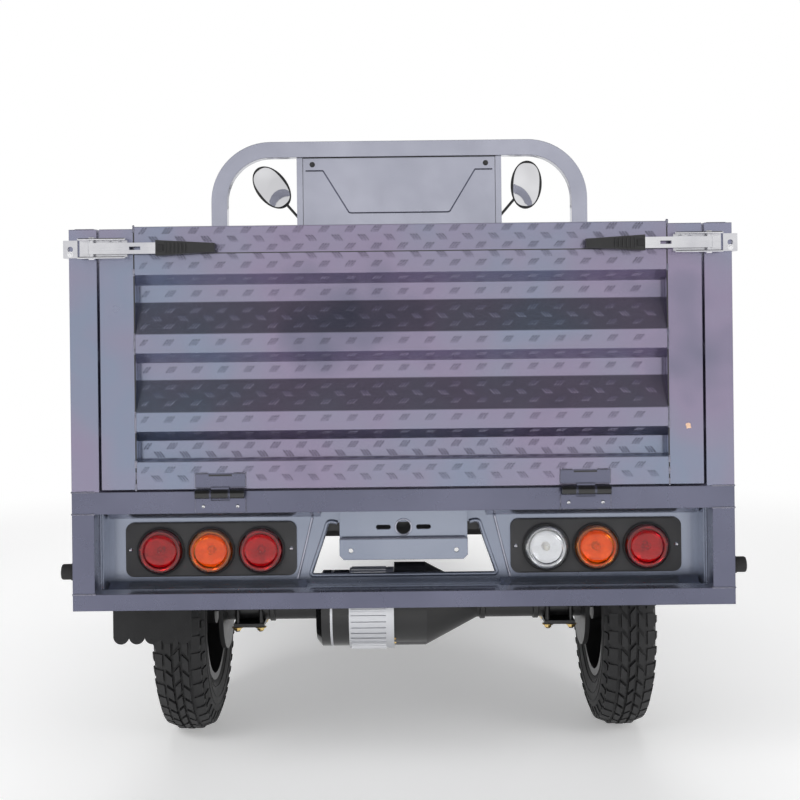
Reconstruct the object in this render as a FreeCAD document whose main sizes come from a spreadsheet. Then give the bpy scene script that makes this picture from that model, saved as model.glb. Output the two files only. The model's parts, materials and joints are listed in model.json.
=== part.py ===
"""Electric cargo tricycle: an open load box on a ladder chassis, two driven rear wheels and one
steered front wheel. Millimetres.

+Y is forward, +X is the vehicle's right and +Z is up. The origin is on the ground under the
middle of the bounding box. Sub-parts are drawn with y counted forward from the tailgate's outer
plane, and each one's Placement then moves it to the origin.
"""
import FreeCAD
import Part
import Sketcher
import math
import os
import re

# Driving sizes. Each is written once here, and held in the spreadsheet.
SIZES = {
    # load box
    "body_width": 1200, "bed_length": 1660, "deck_top": 604, "wall_rise": 480, "wall_depth": 35,
    "sheet": 3, "frame_tube": 40, "post_face": 50, "gate_gap": 5, "sill_gap": 4, "stile_face": 62,
    "inner_rail": 35, "bottom_rail": 30, "ring_bottom": 389, "side_return": 240,
    "press_depth": 25, "top_strip": 87, "bottom_strip": 50, "skin_gap": 0.5, "post_drop": 4,
    "member_one": 0.28, "member_two": 0.52, "member_three": 0.76, "step_rise": 19,
    "valley_rise": 31, "slope_rise": 58, "ridge_rise": 34,
    # tailgate hinges and latches
    "hinge_x": 330, "hinge_width": 90, "hinge_back": 10, "knuckle_radius": 8, "pin_radius": 4,
    "leaf_sheet": 4, "leaf_rise": 25, "leaf_foot": 2, "leaf_clear": 12, "gate_leaf_clear": 11,
    "mid_knuckle": 33, "knuckle_gap": 0.5, "fit": 0.05, "latch_drop": 40, "latch_half": 18,
    "latch_web_back": 5, "latch_web": 4, "latch_flange_reach": 26, "latch_flange": 3,
    "latch_outer": 578, "latch_inner": 492, "latch_pivot_x": 554, "latch_pivot_back": 17,
    "lever_boss": 6.5, "lever_half_thick": 5, "lever_half_rise": 10, "lever_end": 438,
    "grip_end": 333, "grip_half": 14, "grip_tip_half": 8, "grip_thick": 20, "grip_tip_thick": 12,
    "lever_slot": 6, "slot_start": 28, "slot_end": 48, "grip_set": 2, "keeper_trim": 2,
    "latch_inset": 5, "keeper_width": 26, "keeper_side": 9, "keeper_sheet": 5, "keeper_hole": 5,
    # tail panel, lamps and plate bracket
    "tray_depth": 48, "tray_half": 560, "tray_bottom": 409, "mouth_top_half": 143,
    "mouth_low_half": 175, "mouth_top": 530, "mouth_low": 432, "lamp_x": 361, "lamp_z": 484,
    "lamp_plate": 320, "lamp_plate_rise": 101, "lamp_plate_thick": 6, "lamp_corner": 15,
    "lens_radius": 41, "lens_drop": 2, "lens_pitch": 94, "lens_rim": 12, "lens_dome": 8,
    "lens_dome_radius": 34, "bracket_half": 118, "bracket_step": 508, "bracket_low": 470,
    "bracket_set": 12, "bracket_in": 4, "bracket_chamfer": 8, "plate_hole": 13, "slot_x": 37,
    "slot_half": 13.5, "slot_radius": 4, "bracket_line": 528, "low_slot_x": 97, "low_slot_z": 487,
    "peg_radius": 13.5, "peg_reach": 23, "peg_z": 457, "flap_inner": 424, "flap_outer": 580,
    "flap_low": 270, "flap_sheet": 5, "flap_waves": 5, "flap_edge": 6, "flap_seat": 18,
    "flap_gap": 1, "flap_tuck": 4,
    # chassis
    "rail_x": 348, "rail_back": 92, "rail_face": 50, "rail_rise": 50, "cross_tube": 40,
    "low_rail_x": 250, "tray_rest": 20, "tray_hold": 60, "mast_sink": 10, "mast_set": 14,
    "bore_past": 20, "foot_top": 390, "foot_sheet": 4, "foot_half": 300, "foot_front": 2387,
    # driver's place
    "hoop_top": 1483, "hoop_tube": 50, "hoop_depth": 40, "hoop_bend": 165, "rib_x": 318,
    "rib_face": 19, "rib_depth": 20, "rib_foot": 1094, "sill_bar": 25, "sill_short": 5,
    "panel_set": 6, "floor_tuck": 36, "seat_half": 290, "seat_back": 1705, "seat_front": 2050,
    "seat_box_top": 690, "cushion_thick": 90, "cushion_half": 300, "backrest_low": 890,
    "backrest_top": 1190, "backrest_thick": 65, "backrest_half": 320, "cushion_nose": 15,
    "soft_gap": 0.3, "shield_y": 2334, "shield_top": 860, "shield_wing": 45, "battery_back": 1060,
    "battery_front": 1500, "battery_half": 250, "battery_low": 330,
    # rear axle and drive
    "rear_axle_y": 560, "wheelbase": 2150, "rear_track": 942, "tyre_radius": 266,
    "tyre_width": 110, "shoulder_in": 11, "shoulder_drop": 16, "rim_radius": 152, "rim_wall": 4,
    "flange_rise": 11, "rim_half": 46, "hub_radius": 40, "hub_half": 45, "disc_half": 4,
    "axle_tube": 32.5, "stub_radius": 14, "backplate_radius": 95, "backplate_thick": 10,
    "wheel_gap": 8, "leaf_thick": 8, "leaf_width": 40, "leaf_half": 350, "leaf_radius": 788,
    "spring_pad": 6, "eye_radius": 16, "eye_pin": 8, "eye_fit": 0.1, "hanger_sheet": 5,
    "hanger_half": 20, "bolt_radius": 5, "bolt_x": 26, "bolt_y": 38, "clamp_sheet": 8,
    "clamp_edge": 8, "bolt_foot": 10, "bolt_head": 6, "seat_pad_half": 30, "leaf_two": 0.8,
    "leaf_three": 0.58, "leaf_four": 0.38, "motor_y": 440, "motor_z": 286, "motor_radius": 85,
    "cover_radius": 80, "motor_flange": 86, "motor_left": 187, "casing_left": 117,
    "flange_left": 35, "case_left": 22, "case_right": 48, "case_radius": 74, "case_neck": 12,
    "cover_bevel": 12, "banjo_radius": 92, "flare_right": 164,
    # steering
    "rake": 26, "fork_offset": 27, "leg_x": 92, "leg_radius": 22, "slider_radius": 24,
    "slider_top": 200, "leg_foot": 30, "leg_top": 430, "yoke_thick": 30, "yoke_back": 30,
    "yoke_front": 6, "clamp_half": 35, "clamp_deep": 24, "clamp_rise": 25, "stem_radius": 15,
    "stem_gap": 0.3, "head_low": 560, "head_top": 740, "head_radius": 28, "collar_radius": 24,
    "clamp_top": 800, "bar_radius": 11, "bar_low": 780, "bar_high": 860, "bar_half": 360,
    "bar_bend": 60, "bar_straight": 170, "bar_middle": 90, "grip_radius": 17, "grip_long": 118,
    "mast_radius": 25, "lamp_radius": 75, "lamp_long": 85, "lamp_bracket_y": 50,
    "lamp_bracket_half": 30, "lamp_bracket_sheet": 6, "lamp_neck": 20, "lamp_gap": 2,
    "lamp_bracket_top": 700, "headlamp_at": 640, "guard_clear": 20, "guard_sheet": 3,
    "guard_half": 62, "guard_lip": 8, "guard_front": 20, "guard_sweep": 135, "stay_radius": 6,
    "mirror_x": 474, "mirror_z": 1409, "mirror_stem_x": 215, "mirror_knee": 1110,
    "mirror_wide": 58, "mirror_tall": 90, "mirror_deep": 28, "mirror_stem": 5,
    "mirror_foot_gap": 0.2, "mirror_reach": 22, "mirror_dip": 26, "mirror_back": 8,
    "mirror_left_lean": -38, "mirror_right_lean": 4,
}

# Worked-out places, each a formula of the driving sizes.
PLACES = {
    "half_body": "body_width / 2",
    "wall_top": "deck_top + wall_rise",
    "ring_top": "deck_top - frame_tube",
    "post_in": "half_body - post_face",
    "gate_half": "post_in - gate_gap",
    "gate_low": "deck_top + sill_gap",
    "panel_half": "gate_half - stile_face",
    "skin": "sheet + skin_gap",
    "rail_top": "ring_top",
    "rail_low": "ring_top - rail_rise",
    "bed_front": "bed_length",
    "hoop_front": "bed_length + hoop_depth",
    "low_rail_low": "foot_top - cross_tube",
    "latch_z": "wall_top - latch_drop",
    "keeper_x": "half_body + keeper_side",
    "hinge_z": "deck_top - 4",
    "tray_back": "frame_tube",
    "tray_front": "frame_tube + tray_depth",
    "lamp_face": "tray_front - sheet - lamp_plate_thick",
    "front_axle_y": "rear_axle_y + wheelbase",
    "wheel_x": "rear_track / 2",
    "backplate_out": "wheel_x - tyre_width / 2 - wheel_gap",
    "spring_low": "tyre_radius + axle_tube + spring_pad",
    "spring_top": "spring_low + 4 * leaf_thick",
    "spring_centre": "spring_top + leaf_radius",
    "eye_z": "spring_centre - sqrt(leaf_radius * leaf_radius - leaf_half * leaf_half)",
    "foot_y": "front_axle_y - fork_offset * cos(rake)",
    "foot_z": "tyre_radius - fork_offset * sin(rake)",
    "bar_y": "foot_y - bar_high * sin(rake)",
    "bar_z": "foot_z + bar_high * cos(rake)",
    "guard_radius": "tyre_radius + guard_clear + guard_sheet",
    "front_reach": "front_axle_y + guard_radius * cos(guard_front)",
    "rear_reach": "latch_pivot_back + grip_thick / 2",
    "tail_y": "(rear_reach - front_reach) / 2",
}

doc = FreeCAD.newDocument("CargoTricycle")
sheet = doc.addObject("Spreadsheet::Sheet", "Sizes")
for row, (alias, size) in enumerate(SIZES.items(), start=1):
    sheet.set(f"A{row}", alias)
    sheet.set(f"B{row}", str(size))
    sheet.setAlias(f"B{row}", alias)
doc.recompute()
nodes = []


def formula(text):
    """Spell out the worked-out places and point the driving sizes at the spreadsheet."""
    def spelled(match):
        word = match.group()
        if word in PLACES:
            return "(" + formula(PLACES[word]) + ")"
        return "Sizes." + word if word in SIZES else word
    return re.sub(r"[A-Za-z_]\w*", spelled, str(text))


def value(text):
    return float(sheet.evalExpression(formula(text)))


def bind(thing, **sizes):
    for prop, text in sizes.items():
        thing.setExpression(prop, formula(text))
    return thing


def place(thing, x="0", y="0", z="0", axis=(0, 0, 1), angle="0"):
    """Bind a Placement: a turn about one axis, then a move."""
    thing.Placement = FreeCAD.Placement(
        FreeCAD.Vector(), FreeCAD.Rotation(FreeCAD.Vector(*axis), value(angle)))
    if str(angle) not in ("0", "90", "-90", "120"):
        thing.setExpression("Placement.Rotation.Angle", formula(angle))
    for letter, text in zip("xyz", (x, y, z)):
        thing.setExpression("Placement.Base." + letter, formula(text))
    return thing


def mirrored(side, span):
    """A pair of x limits on the right (side 1), or the same pair on the left (side -1)."""
    return span if side > 0 else (f"-({span[1]})", f"-({span[0]})")


def about(centre, half):
    return (f"{centre} - ({half})", f"{centre} + ({half})")


def box(x, y, z):
    """A block between two limits along each axis."""
    thing = doc.addObject("Part::Box", "Block")
    bind(thing, Length=f"({x[1]}) - ({x[0]})", Width=f"({y[1]}) - ({y[0]})",
         Height=f"({z[1]}) - ({z[0]})")
    return place(thing, x[0], y[0], z[0])


TURNS = {"x": ((0, 1, 0), "90"), "y": ((1, 0, 0), "-90"), "z": ((0, 0, 1), "0")}


def rod(axis, span, across, radius, end_radius=None):
    """A round bar along one axis between two limits; across is its centre on the other two."""
    kind = "Part::Cone" if end_radius else "Part::Cylinder"
    thing = doc.addObject(kind, "Round")
    bind(thing, Height=f"({span[1]}) - ({span[0]})")
    if end_radius:
        bind(thing, Radius1=radius, Radius2=end_radius)
    else:
        bind(thing, Radius=radius)
    centre = list(across)
    centre.insert("xyz".index(axis), span[0])
    turn_axis, turn = TURNS[axis]
    return place(thing, *centre, turn_axis, turn)


def strut(start, end, radius):
    """A round bar in the middle plane between two (y, z) points."""
    run, rise = (f"(({end[i]}) - ({start[i]}))" for i in (0, 1))
    thing = bind(doc.addObject("Part::Cylinder", "Strut"), Radius=radius,
                 Height=f"sqrt({run} * {run} + {rise} * {rise})")
    return place(thing, "0", start[0], start[1], (1, 0, 0), f"-atan({run} / {rise})")


def fuse(pieces):
    if len(pieces) == 1:
        return pieces[0]
    thing = doc.addObject("Part::MultiFuse", "Joined")
    thing.Shapes = pieces
    thing.Refine = True
    return thing


def cut(base, tools):
    thing = doc.addObject("Part::Cut", "Trimmed")
    thing.Base = base
    thing.Tool = fuse(tools)
    return thing


def common(first, second):
    thing = doc.addObject("Part::MultiCommon", "Shared")
    thing.Shapes = [first, second]
    return thing


def plane_sketch(body, role, name, offset=None):
    """A sketch on one of the body's own origin planes, or parallel to it."""
    sketch = body.newObject("Sketcher::SketchObject", name)
    plane = [f for f in body.Origin.OriginFeatures if f.Role == role][0]
    sketch.AttachmentSupport = [(plane, "")]
    sketch.MapMode = "FlatFace"
    if offset:
        sketch.setExpression("AttachmentOffset.Base.z", formula(offset))
    return sketch


def pin_point(sketch, geometry, end, u, v):
    for kind, text in (("DistanceX", u), ("DistanceY", v)):
        at = sketch.addConstraint(Sketcher.Constraint(kind, -1, 1, geometry, end, value(text)))
        sketch.setExpression(f"Constraints[{at}]", formula(text))


def outline(sketch, points):
    """A closed outline. (u, v) is a corner; (u, v, u_mid, v_mid) is a corner reached by an arc
    through the middle point."""
    count = len(points)
    spots = [FreeCAD.Vector(value(p[0]), value(p[1]), 0) for p in points]
    middles = []
    for i in range(count):
        end = (i + 1) % count
        if len(points[end]) == 4:
            middle = FreeCAD.Vector(value(points[end][2]), value(points[end][3]), 0)
            sketch.addGeometry(Part.Arc(spots[i], middle, spots[end]))
            middles.append((i, points[end][2], points[end][3], middle))
        else:
            sketch.addGeometry(Part.LineSegment(spots[i], spots[end]))

    def end_of(index, last):
        """An arc's first point is the one its direction starts from, so it may be swapped."""
        point = 2 if last else 1
        here = spots[(index + 1) % count] if last else spots[index]
        if (sketch.getPoint(index, point) - here).Length > 1e-6:
            point = 3 - point
        return point

    for i in range(count):
        end = (i + 1) % count
        sketch.addConstraint(Sketcher.Constraint("Coincident", i, end_of(i, True),
                                                 end, end_of(end, False)))
    for i in range(count):
        pin_point(sketch, i, end_of(i, False), points[i][0], points[i][1])
    for i, u, v, middle in middles:
        spot = sketch.addGeometry(Part.Point(middle), True)
        sketch.addConstraint(Sketcher.Constraint("PointOnObject", spot, 1, i))
        pin_point(sketch, spot, 1, u, v)


def pad(role, points, length, x="0", y="0", z="0"):
    """An outline padded by length, half each way from its plane."""
    body = doc.addObject("PartDesign::Body", "Padded")
    sketch = plane_sketch(body, role, "Outline")
    outline(sketch, points)
    solid = body.newObject("PartDesign::Pad", "Pad")
    solid.Profile = sketch
    solid.SideType = "Symmetric"
    bind(solid, Length=length)
    return place(body, x, y, z)


def revolve(points, x="0", y="0", z="0"):
    """An outline of (x, radius) turned about the vehicle's X axis."""
    body = doc.addObject("PartDesign::Body", "Turned")
    sketch = plane_sketch(body, "XZ_Plane", "Section")
    outline(sketch, points)
    solid = body.newObject("PartDesign::Revolution", "Revolution")
    solid.Profile = sketch
    solid.ReferenceAxis = (sketch, ["H_Axis"])
    solid.Angle = 360
    return place(body, x, y, z)


def bent_path(sketch, points, bend):
    """Straight runs joined by tangent arcs of one radius, through the given corners."""
    spots = [FreeCAD.Vector(value(u), value(v), 0) for u, v in points]
    radius = value(bend)
    starts, ends, arcs = [spots[0]], [], []
    for before, corner, after in zip(spots, spots[1:], spots[2:]):
        back, ahead = (before - corner).normalize(), (after - corner).normalize()
        half = back.getAngle(ahead) / 2
        reach = radius / math.tan(half)
        centre = corner + (back + ahead).normalize() * (radius / math.sin(half))
        ends.append(corner + back * reach)
        starts.append(corner + ahead * reach)
        arcs.append((ends[-1], centre + (corner - centre).normalize() * radius, starts[-1]))
    ends.append(spots[-1])
    lines = [sketch.addGeometry(Part.LineSegment(a, b)) for a, b in zip(starts, ends)]
    pin_point(sketch, lines[0], 1, *points[0])
    pin_point(sketch, lines[-1], 2, *points[-1])
    for i, (first, middle, last) in enumerate(arcs):
        arc = sketch.addGeometry(Part.Arc(first, middle, last))
        swap = (sketch.getPoint(arc, 1) - first).Length > 1e-6
        near, far = (2, 1) if swap else (1, 2)
        sketch.addConstraint(Sketcher.Constraint("Tangent", lines[i], 2, arc, near))
        sketch.addConstraint(Sketcher.Constraint("Tangent", arc, far, lines[i + 1], 1))
        corner = sketch.addGeometry(Part.Point(spots[i + 1]), True)
        sketch.addConstraint(Sketcher.Constraint("PointOnObject", corner, 1, lines[i]))
        sketch.addConstraint(Sketcher.Constraint("PointOnObject", corner, 1, lines[i + 1]))
        pin_point(sketch, corner, 1, *points[i + 1])
        at = sketch.addConstraint(Sketcher.Constraint("Radius", arc, radius))
        sketch.setExpression(f"Constraints[{at}]", formula(bend))
    return len(lines) + len(arcs)


def bent_tube(points, bend, section_role, section_offset, section):
    """A bar swept along a bent path in the XZ plane. The section is a circle's centre and radius
    or an outline, on the plane square to the path's first run."""
    body = doc.addObject("PartDesign::Body", "Bent")
    path = plane_sketch(body, "XZ_Plane", "Path")
    bent_path(path, points, bend)
    shape = plane_sketch(body, section_role, "Section", section_offset)
    if isinstance(section, tuple):
        u, v, radius = section
        circle = shape.addGeometry(Part.Circle(
            FreeCAD.Vector(value(u), value(v), 0), FreeCAD.Vector(0, 0, 1), value(radius)))
        pin_point(shape, circle, 3, u, v)
        at = shape.addConstraint(Sketcher.Constraint("Radius", circle, value(radius)))
        shape.setExpression(f"Constraints[{at}]", formula(radius))
    else:
        outline(shape, section)
    doc.recompute()
    pipe = body.newObject("PartDesign::AdditivePipe", "Pipe")
    pipe.Profile = shape
    pipe.Spine = (path, [f"Edge{i + 1}" for i in range(len(path.Shape.Edges))])
    return body


def node(name, solids, x="0", y="tail_y", z="0", axis=(1, 0, 0), angle="0"):
    """Close a sub-part: one or more separate solids under one Label and one Placement."""
    thing = doc.addObject("Part::Compound", name)
    thing.Links = solids
    thing.Label = name
    place(thing, x, y, z, axis, angle)
    nodes.append(thing)
    return thing


# ---- load box --------------------------------------------------------------------------------

def ribbed_profile(outward):
    """Half-open outline of the pressed sheet, top to bottom: (depth from the outer plane, z).
    Each bay is a step in, a valley and a long slope back out to a ridge."""
    front = [("0", "wall_top"), ("0", "wall_top - top_strip")]
    level = "wall_top - top_strip"
    for bay in range(2):
        front.append(("press_depth", f"{level} - step_rise"))
        front.append(("press_depth", f"{level} - step_rise - valley_rise"))
        level += " - step_rise - valley_rise - slope_rise"
        front.append(("0", level))
        level += " - ridge_rise"
        front.append(("0", level))
    front.append(("press_depth", f"{level} - step_rise"))
    front.append(("press_depth", "gate_low + bottom_strip + sheet"))
    front.append(("0", "gate_low + bottom_strip"))
    front.append(("0", "gate_low"))
    return [(f"{outward} * ({depth})", rise) for depth, rise in front]


def ribbed_outline(outward):
    front = ribbed_profile(outward)
    back = [(f"{depth} + {outward} * skin", rise) for depth, rise in reversed(front)]
    return front + back


def bed_frame():
    """The rear ring with its side returns, the sills and the deck's cross-members."""
    ring_in = "half_body - frame_tube"
    low_top = "ring_bottom + bottom_rail"
    tubes = [
        box(("-half_body", "half_body"), ("0", "frame_tube"), ("ring_top", "deck_top")),
        box(("-half_body", "half_body"), ("0", "frame_tube"), ("ring_bottom", low_top)),
    ]
    for side in (-1, 1):
        x = mirrored(side, (ring_in, "half_body"))
        tubes.append(box(x, ("0", "frame_tube"), ("ring_bottom", "deck_top")))
        tubes.append(box(x, ("0", "bed_front"), ("ring_top", "deck_top")))
        tubes.append(box(x, ("0", "side_return"), ("ring_bottom", low_top)))
        tubes.append(box(x, ("side_return - frame_tube", "side_return"),
                         ("ring_bottom", "deck_top")))
        tubes.append(box(mirrored(side, ("flap_inner + flap_edge", "half_body")),
                         ("side_return - flap_seat", "side_return"), ("ring_bottom", low_top)))
    for back in ("rail_back", "member_one * bed_front", "member_two * bed_front",
                 "member_three * bed_front", "bed_front - frame_tube"):
        tubes.append(box(("-half_body", "half_body"), (back, f"{back} + frame_tube"),
                         ("ring_top", "deck_top")))
    node("bed_frame", [fuse(tubes)])


def bed_floor():
    node("bed_floor", [box(("wall_depth - half_body", "half_body - wall_depth"),
                           ("frame_tube + flap_gap", "bed_front - frame_tube"),
                           ("deck_top", "deck_top + sheet"))])


def side_wall(name, side):
    """A pressed side with its end posts and the rails folded in behind it."""
    skin_y = "(bed_front) / 2"
    skin = pad("XZ_Plane", ribbed_outline(-side), "bed_front - 2 * frame_tube",
               f"{side} * half_body", skin_y)
    inner = "half_body - wall_depth"
    run = ("frame_tube", "bed_front - frame_tube")
    pieces = [skin]
    for z in (("wall_top - inner_rail", "wall_top"), ("deck_top", "deck_top + inner_rail")):
        pieces.append(box(mirrored(side, (inner, "half_body - sheet")), run, z))
    for y in (("0", "frame_tube"), ("bed_front - frame_tube", "bed_front")):
        pieces.append(box(mirrored(side, ("post_in", "half_body")), y,
                          ("deck_top", "wall_top - post_drop")))
    node(name, [fuse(pieces)])


def headboard():
    skin = pad("YZ_Plane", ribbed_outline(-1), "2 * post_in", y="bed_front")
    rails = [box(("-post_in", "post_in"), ("bed_front - wall_depth", "bed_front - sheet"), z)
             for z in (("wall_top - inner_rail", "wall_top"),
                       ("deck_top", "deck_top + inner_rail"))]
    node("headboard", [fuse([skin] + rails)])


def tailgate():
    """Stiles and inner rails carry the pressed panel, which lies flush between the stiles."""
    frame = []
    for side in (-1, 1):
        frame.append(box(mirrored(side, ("panel_half", "gate_half")), ("0", "wall_depth"),
                         ("gate_low", "wall_top - post_drop")))
    for z in (("wall_top - inner_rail", "wall_top - post_drop"),
              ("gate_low", "gate_low + inner_rail")):
        frame.append(box(("-panel_half", "panel_half"), ("skin", "wall_depth"), z))
    node("tailgate_frame", [fuse(frame)])
    node("tailgate_panel", [pad("YZ_Plane", ribbed_outline(1), "2 * panel_half")])


def hinges():
    """Two butt hinges: the frame's leaf has the outer knuckles and the pin, the gate's leaf the
    middle knuckle."""
    end = "(hinge_width - mid_knuckle) / 2 - knuckle_gap"
    lower, upper = [], []
    for side in (-1, 1):
        centre = f"{side} * hinge_x"
        whole = about(centre, "hinge_width / 2")
        middle = about(centre, "mid_knuckle / 2")
        axis = ("-hinge_back", "hinge_z")
        leaf = [box(whole, ("-leaf_sheet", "0"), ("ring_top + leaf_foot", "hinge_z - leaf_clear")),
                rod("x", whole, axis, "pin_radius")]
        for span in ((whole[0], f"{whole[0]} + {end}"), (f"{whole[1]} - ({end})", whole[1])):
            leaf.append(box(span, ("-leaf_sheet", "0"), ("ring_top + leaf_foot", "hinge_z")))
            leaf.append(rod("x", span, axis, "knuckle_radius"))
        lower.append(fuse(leaf))
        gate_leaf = [
            box(whole, ("-leaf_sheet", "0"),
                ("hinge_z + gate_leaf_clear", "hinge_z + gate_leaf_clear + leaf_rise")),
            box(middle, ("leaf_foot - hinge_back", "1 - leaf_sheet"),
                ("hinge_z", "hinge_z + leaf_clear")),
            rod("x", middle, axis, "knuckle_radius")]
        upper.append(cut(fuse(gate_leaf), [rod("x", whole, axis, "pin_radius + fit")]))
    node("hinge_lower_leaves", lower)
    node("hinge_upper_leaves", upper)


def latches():
    """Over-centre latches: a channel on each stile reaches over the post, and its lever turns
    about an upright pin. The keeper is a drilled plate on the post's corner."""
    keepers, bases = [], []
    z = about("latch_z", "latch_half")
    web = ("-latch_web_back - latch_web", "-latch_web_back")
    pin_z = ("latch_pivot_x", "-latch_pivot_back")
    for side in (-1, 1):
        keeper_z = about("latch_z", "latch_half - keeper_trim")
        face = box(mirrored(side, ("keeper_x - keeper_width", "keeper_x")),
                   ("-keeper_sheet", "0"), keeper_z)
        wrap = box(mirrored(side, ("half_body", "keeper_x")), ("-keeper_sheet", "frame_tube"),
                   keeper_z)
        hole = rod("y", ("-keeper_sheet - 1", "1"),
                   (f"{side} * (keeper_x - keeper_width / 2)", "latch_z"), "keeper_hole")
        keepers.append(cut(fuse([face, wrap]), [hole]))
        reach = mirrored(side, ("latch_inner", "latch_outer"))
        pieces = [box(reach, web, z),
                  box(mirrored(side, ("latch_inner", "gate_half - latch_inset")),
                      ("-latch_web_back", "0"), z),
                  rod("z", z, (f"{side} * {pin_z[0]}", pin_z[1]), "pin_radius")]
        for edge in ((z[0], f"{z[0]} + latch_flange"), (f"{z[1]} - latch_flange", z[1])):
            pieces.append(box(reach, ("-latch_flange_reach", "-latch_web_back"), edge))
        bases.append(fuse(pieces))
        name = "left" if side < 0 else "right"
        latch_lever(name, side)
    node("latch_keepers", keepers)
    node("latch_bases", bases)


def latch_lever(name, side):
    pivot = f"{side} * latch_pivot_x"
    z = about("latch_z", "lever_half_rise")
    y = about("-latch_pivot_back", "lever_half_thick")
    bar = fuse([rod("z", z, (pivot, "-latch_pivot_back"), "lever_boss"),
                box(mirrored(side, ("lever_end", "latch_pivot_x")), y, z)])
    bore = rod("z", about("latch_z", "latch_half"), (pivot, "-latch_pivot_back"),
               "pin_radius + fit")
    slot = box(mirrored(side, ("lever_end + slot_start", "lever_end + slot_end")),
               (f"{y[0]} - 1", f"{y[1]} + 1"), about("latch_z", "lever_slot / 2"))
    node(f"latch_lever_{name}", [cut(bar, [bore, slot])])
    middle = "-latch_pivot_back"
    top = [(f"{side} * lever_end", f"{middle} - grip_thick / 2"),
           (f"{side} * lever_end", f"{middle} + grip_thick / 2 - grip_set"),
           (f"{side} * grip_end", f"{middle} + grip_tip_thick / 2"),
           (f"{side} * grip_end", f"{middle} - grip_tip_thick / 2")]
    plan = pad("XY_Plane", top, "2 * grip_half", z="latch_z")
    face = [(f"{side} * lever_end", "-grip_half"), (f"{side} * lever_end", "grip_half"),
            (f"{side} * grip_end", "grip_tip_half"), (f"{side} * grip_end", "-grip_tip_half")]
    front = pad("XZ_Plane", face, "2 * grip_thick", y=middle, z="latch_z")
    node(f"latch_grip_{name}", [common(plan, front)])


# ---- tail ------------------------------------------------------------------------------------

def tail_panel():
    """A pressed tray set back behind the ring, with a mouth in its middle."""
    y = ("tray_back", "tray_front")
    z = ("tray_bottom", "ring_top")
    shell = box(("-tray_half", "tray_half"), y, z)
    hollow = box(("sheet - tray_half", "tray_half - sheet"),
                 ("tray_back - 1", "tray_front - sheet"),
                 ("tray_bottom + sheet", "ring_top - sheet"))
    mouth = pad("XZ_Plane", [("-mouth_low_half", "mouth_low"), ("mouth_low_half", "mouth_low"),
                             ("mouth_top_half", "mouth_top"), ("-mouth_top_half", "mouth_top")],
                "4 * sheet", y="tray_front - sheet / 2")
    node("tail_panel", [cut(shell, [hollow, mouth])])


def plate_bracket():
    """A stepped plate with a round hole and slots, for a registration plate."""
    back = ("frame_tube + bracket_in", "frame_tube + bracket_in + sheet")
    front = (f"{back[0]} - bracket_set", f"{back[1]} - bracket_set")
    x = ("-bracket_half", "bracket_half")
    plate = fuse([
        box(x, back, ("bracket_step", "ring_top - sheet")),
        box(x, (front[0], back[1]), ("bracket_step - sheet", "bracket_step")),
        pad("XZ_Plane", [
            ("-bracket_half", "bracket_step"), ("-bracket_half", "bracket_low + bracket_chamfer"),
            ("bracket_chamfer - bracket_half", "bracket_low"),
            ("bracket_half - bracket_chamfer", "bracket_low"),
            ("bracket_half", "bracket_low + bracket_chamfer"), ("bracket_half", "bracket_step")],
            "sheet", y=f"({front[0]} + {front[1]}) / 2")])
    through = ("0", "tray_front")
    holes = [rod("y", through, ("0", "bracket_line"), "plate_hole")]
    for side in (-1, 1):
        for end in (-1, 1):
            holes.append(rod("y", through, (f"{side} * slot_x + {end} * (slot_half - slot_radius)",
                                            "bracket_line"), "slot_radius"))
        holes.append(box(about(f"{side} * slot_x", "slot_half - slot_radius"), through,
                         about("bracket_line", "slot_radius")))
        holes.append(rod("y", through, (f"{side} * low_slot_x", "low_slot_z"), "slot_radius"))
    node("plate_bracket", [cut(plate, holes)])


def tail_lamps():
    plates, lenses = [], []
    face = ("lamp_face", "lamp_face + lamp_plate_thick")
    for side in (-1, 1):
        centre = f"{side} * lamp_x"
        corners = [rod("y", face, (f"{centre} + {across} * (lamp_plate / 2 - lamp_corner)",
                                   f"lamp_z + {up} * (lamp_plate_rise / 2 - lamp_corner)"),
                       "lamp_corner") for across in (-1, 1) for up in (-1, 1)]
        plates.append(fuse(corners + [
            box(about(centre, "lamp_plate / 2"), face,
                about("lamp_z", "lamp_plate_rise / 2 - lamp_corner")),
            box(about(centre, "lamp_plate / 2 - lamp_corner"), face,
                about("lamp_z", "lamp_plate_rise / 2"))]))
        for step in (-1, 0, 1):
            at = (f"{centre} + {step} * lens_pitch", "lamp_z - lens_drop")
            lenses.append(fuse([
                rod("y", ("lamp_face - lens_rim", "lamp_face"), at, "lens_radius"),
                rod("y", ("lamp_face - lens_rim - lens_dome", "lamp_face - lens_rim"), at,
                    "lens_dome_radius / 2", "lens_dome_radius")]))
    node("tail_lamp_plates", plates)
    node("tail_lamp_lenses", lenses)


def mudflap():
    """The rubber flap behind the left wheel, scalloped along its foot."""
    width = "(flap_outer - flap_inner)"
    y = ("side_return - flap_seat - flap_sheet", "side_return - flap_seat")
    low = f"flap_low + {width} / flap_waves / 2"
    pieces = [box(("-flap_outer", "-flap_inner"), y, (low, "ring_bottom - flap_gap")),
              box(("frame_tube - half_body + 2 * flap_gap", "-flap_inner"), y,
                  ("ring_bottom - flap_gap", "ring_bottom + bottom_rail - flap_tuck"))]
    for wave in range(int(SIZES["flap_waves"])):
        middle = f"-flap_outer + ({wave} + 0.5) * {width} / flap_waves"
        pieces.append(rod("y", y, (middle, low), f"{width} / flap_waves / 2"))
    node("mudflap_left", [fuse(pieces)])


def tie_down_pegs():
    pegs = []
    for side in (-1, 1):
        for y in ("frame_tube / 2", "side_return - frame_tube / 2"):
            pegs.append(rod("x", mirrored(side, ("half_body", "half_body + peg_reach")),
                            (y, "peg_z"), "peg_radius"))
    node("tie_down_pegs", pegs)


# ---- chassis ---------------------------------------------------------------------------------

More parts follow.
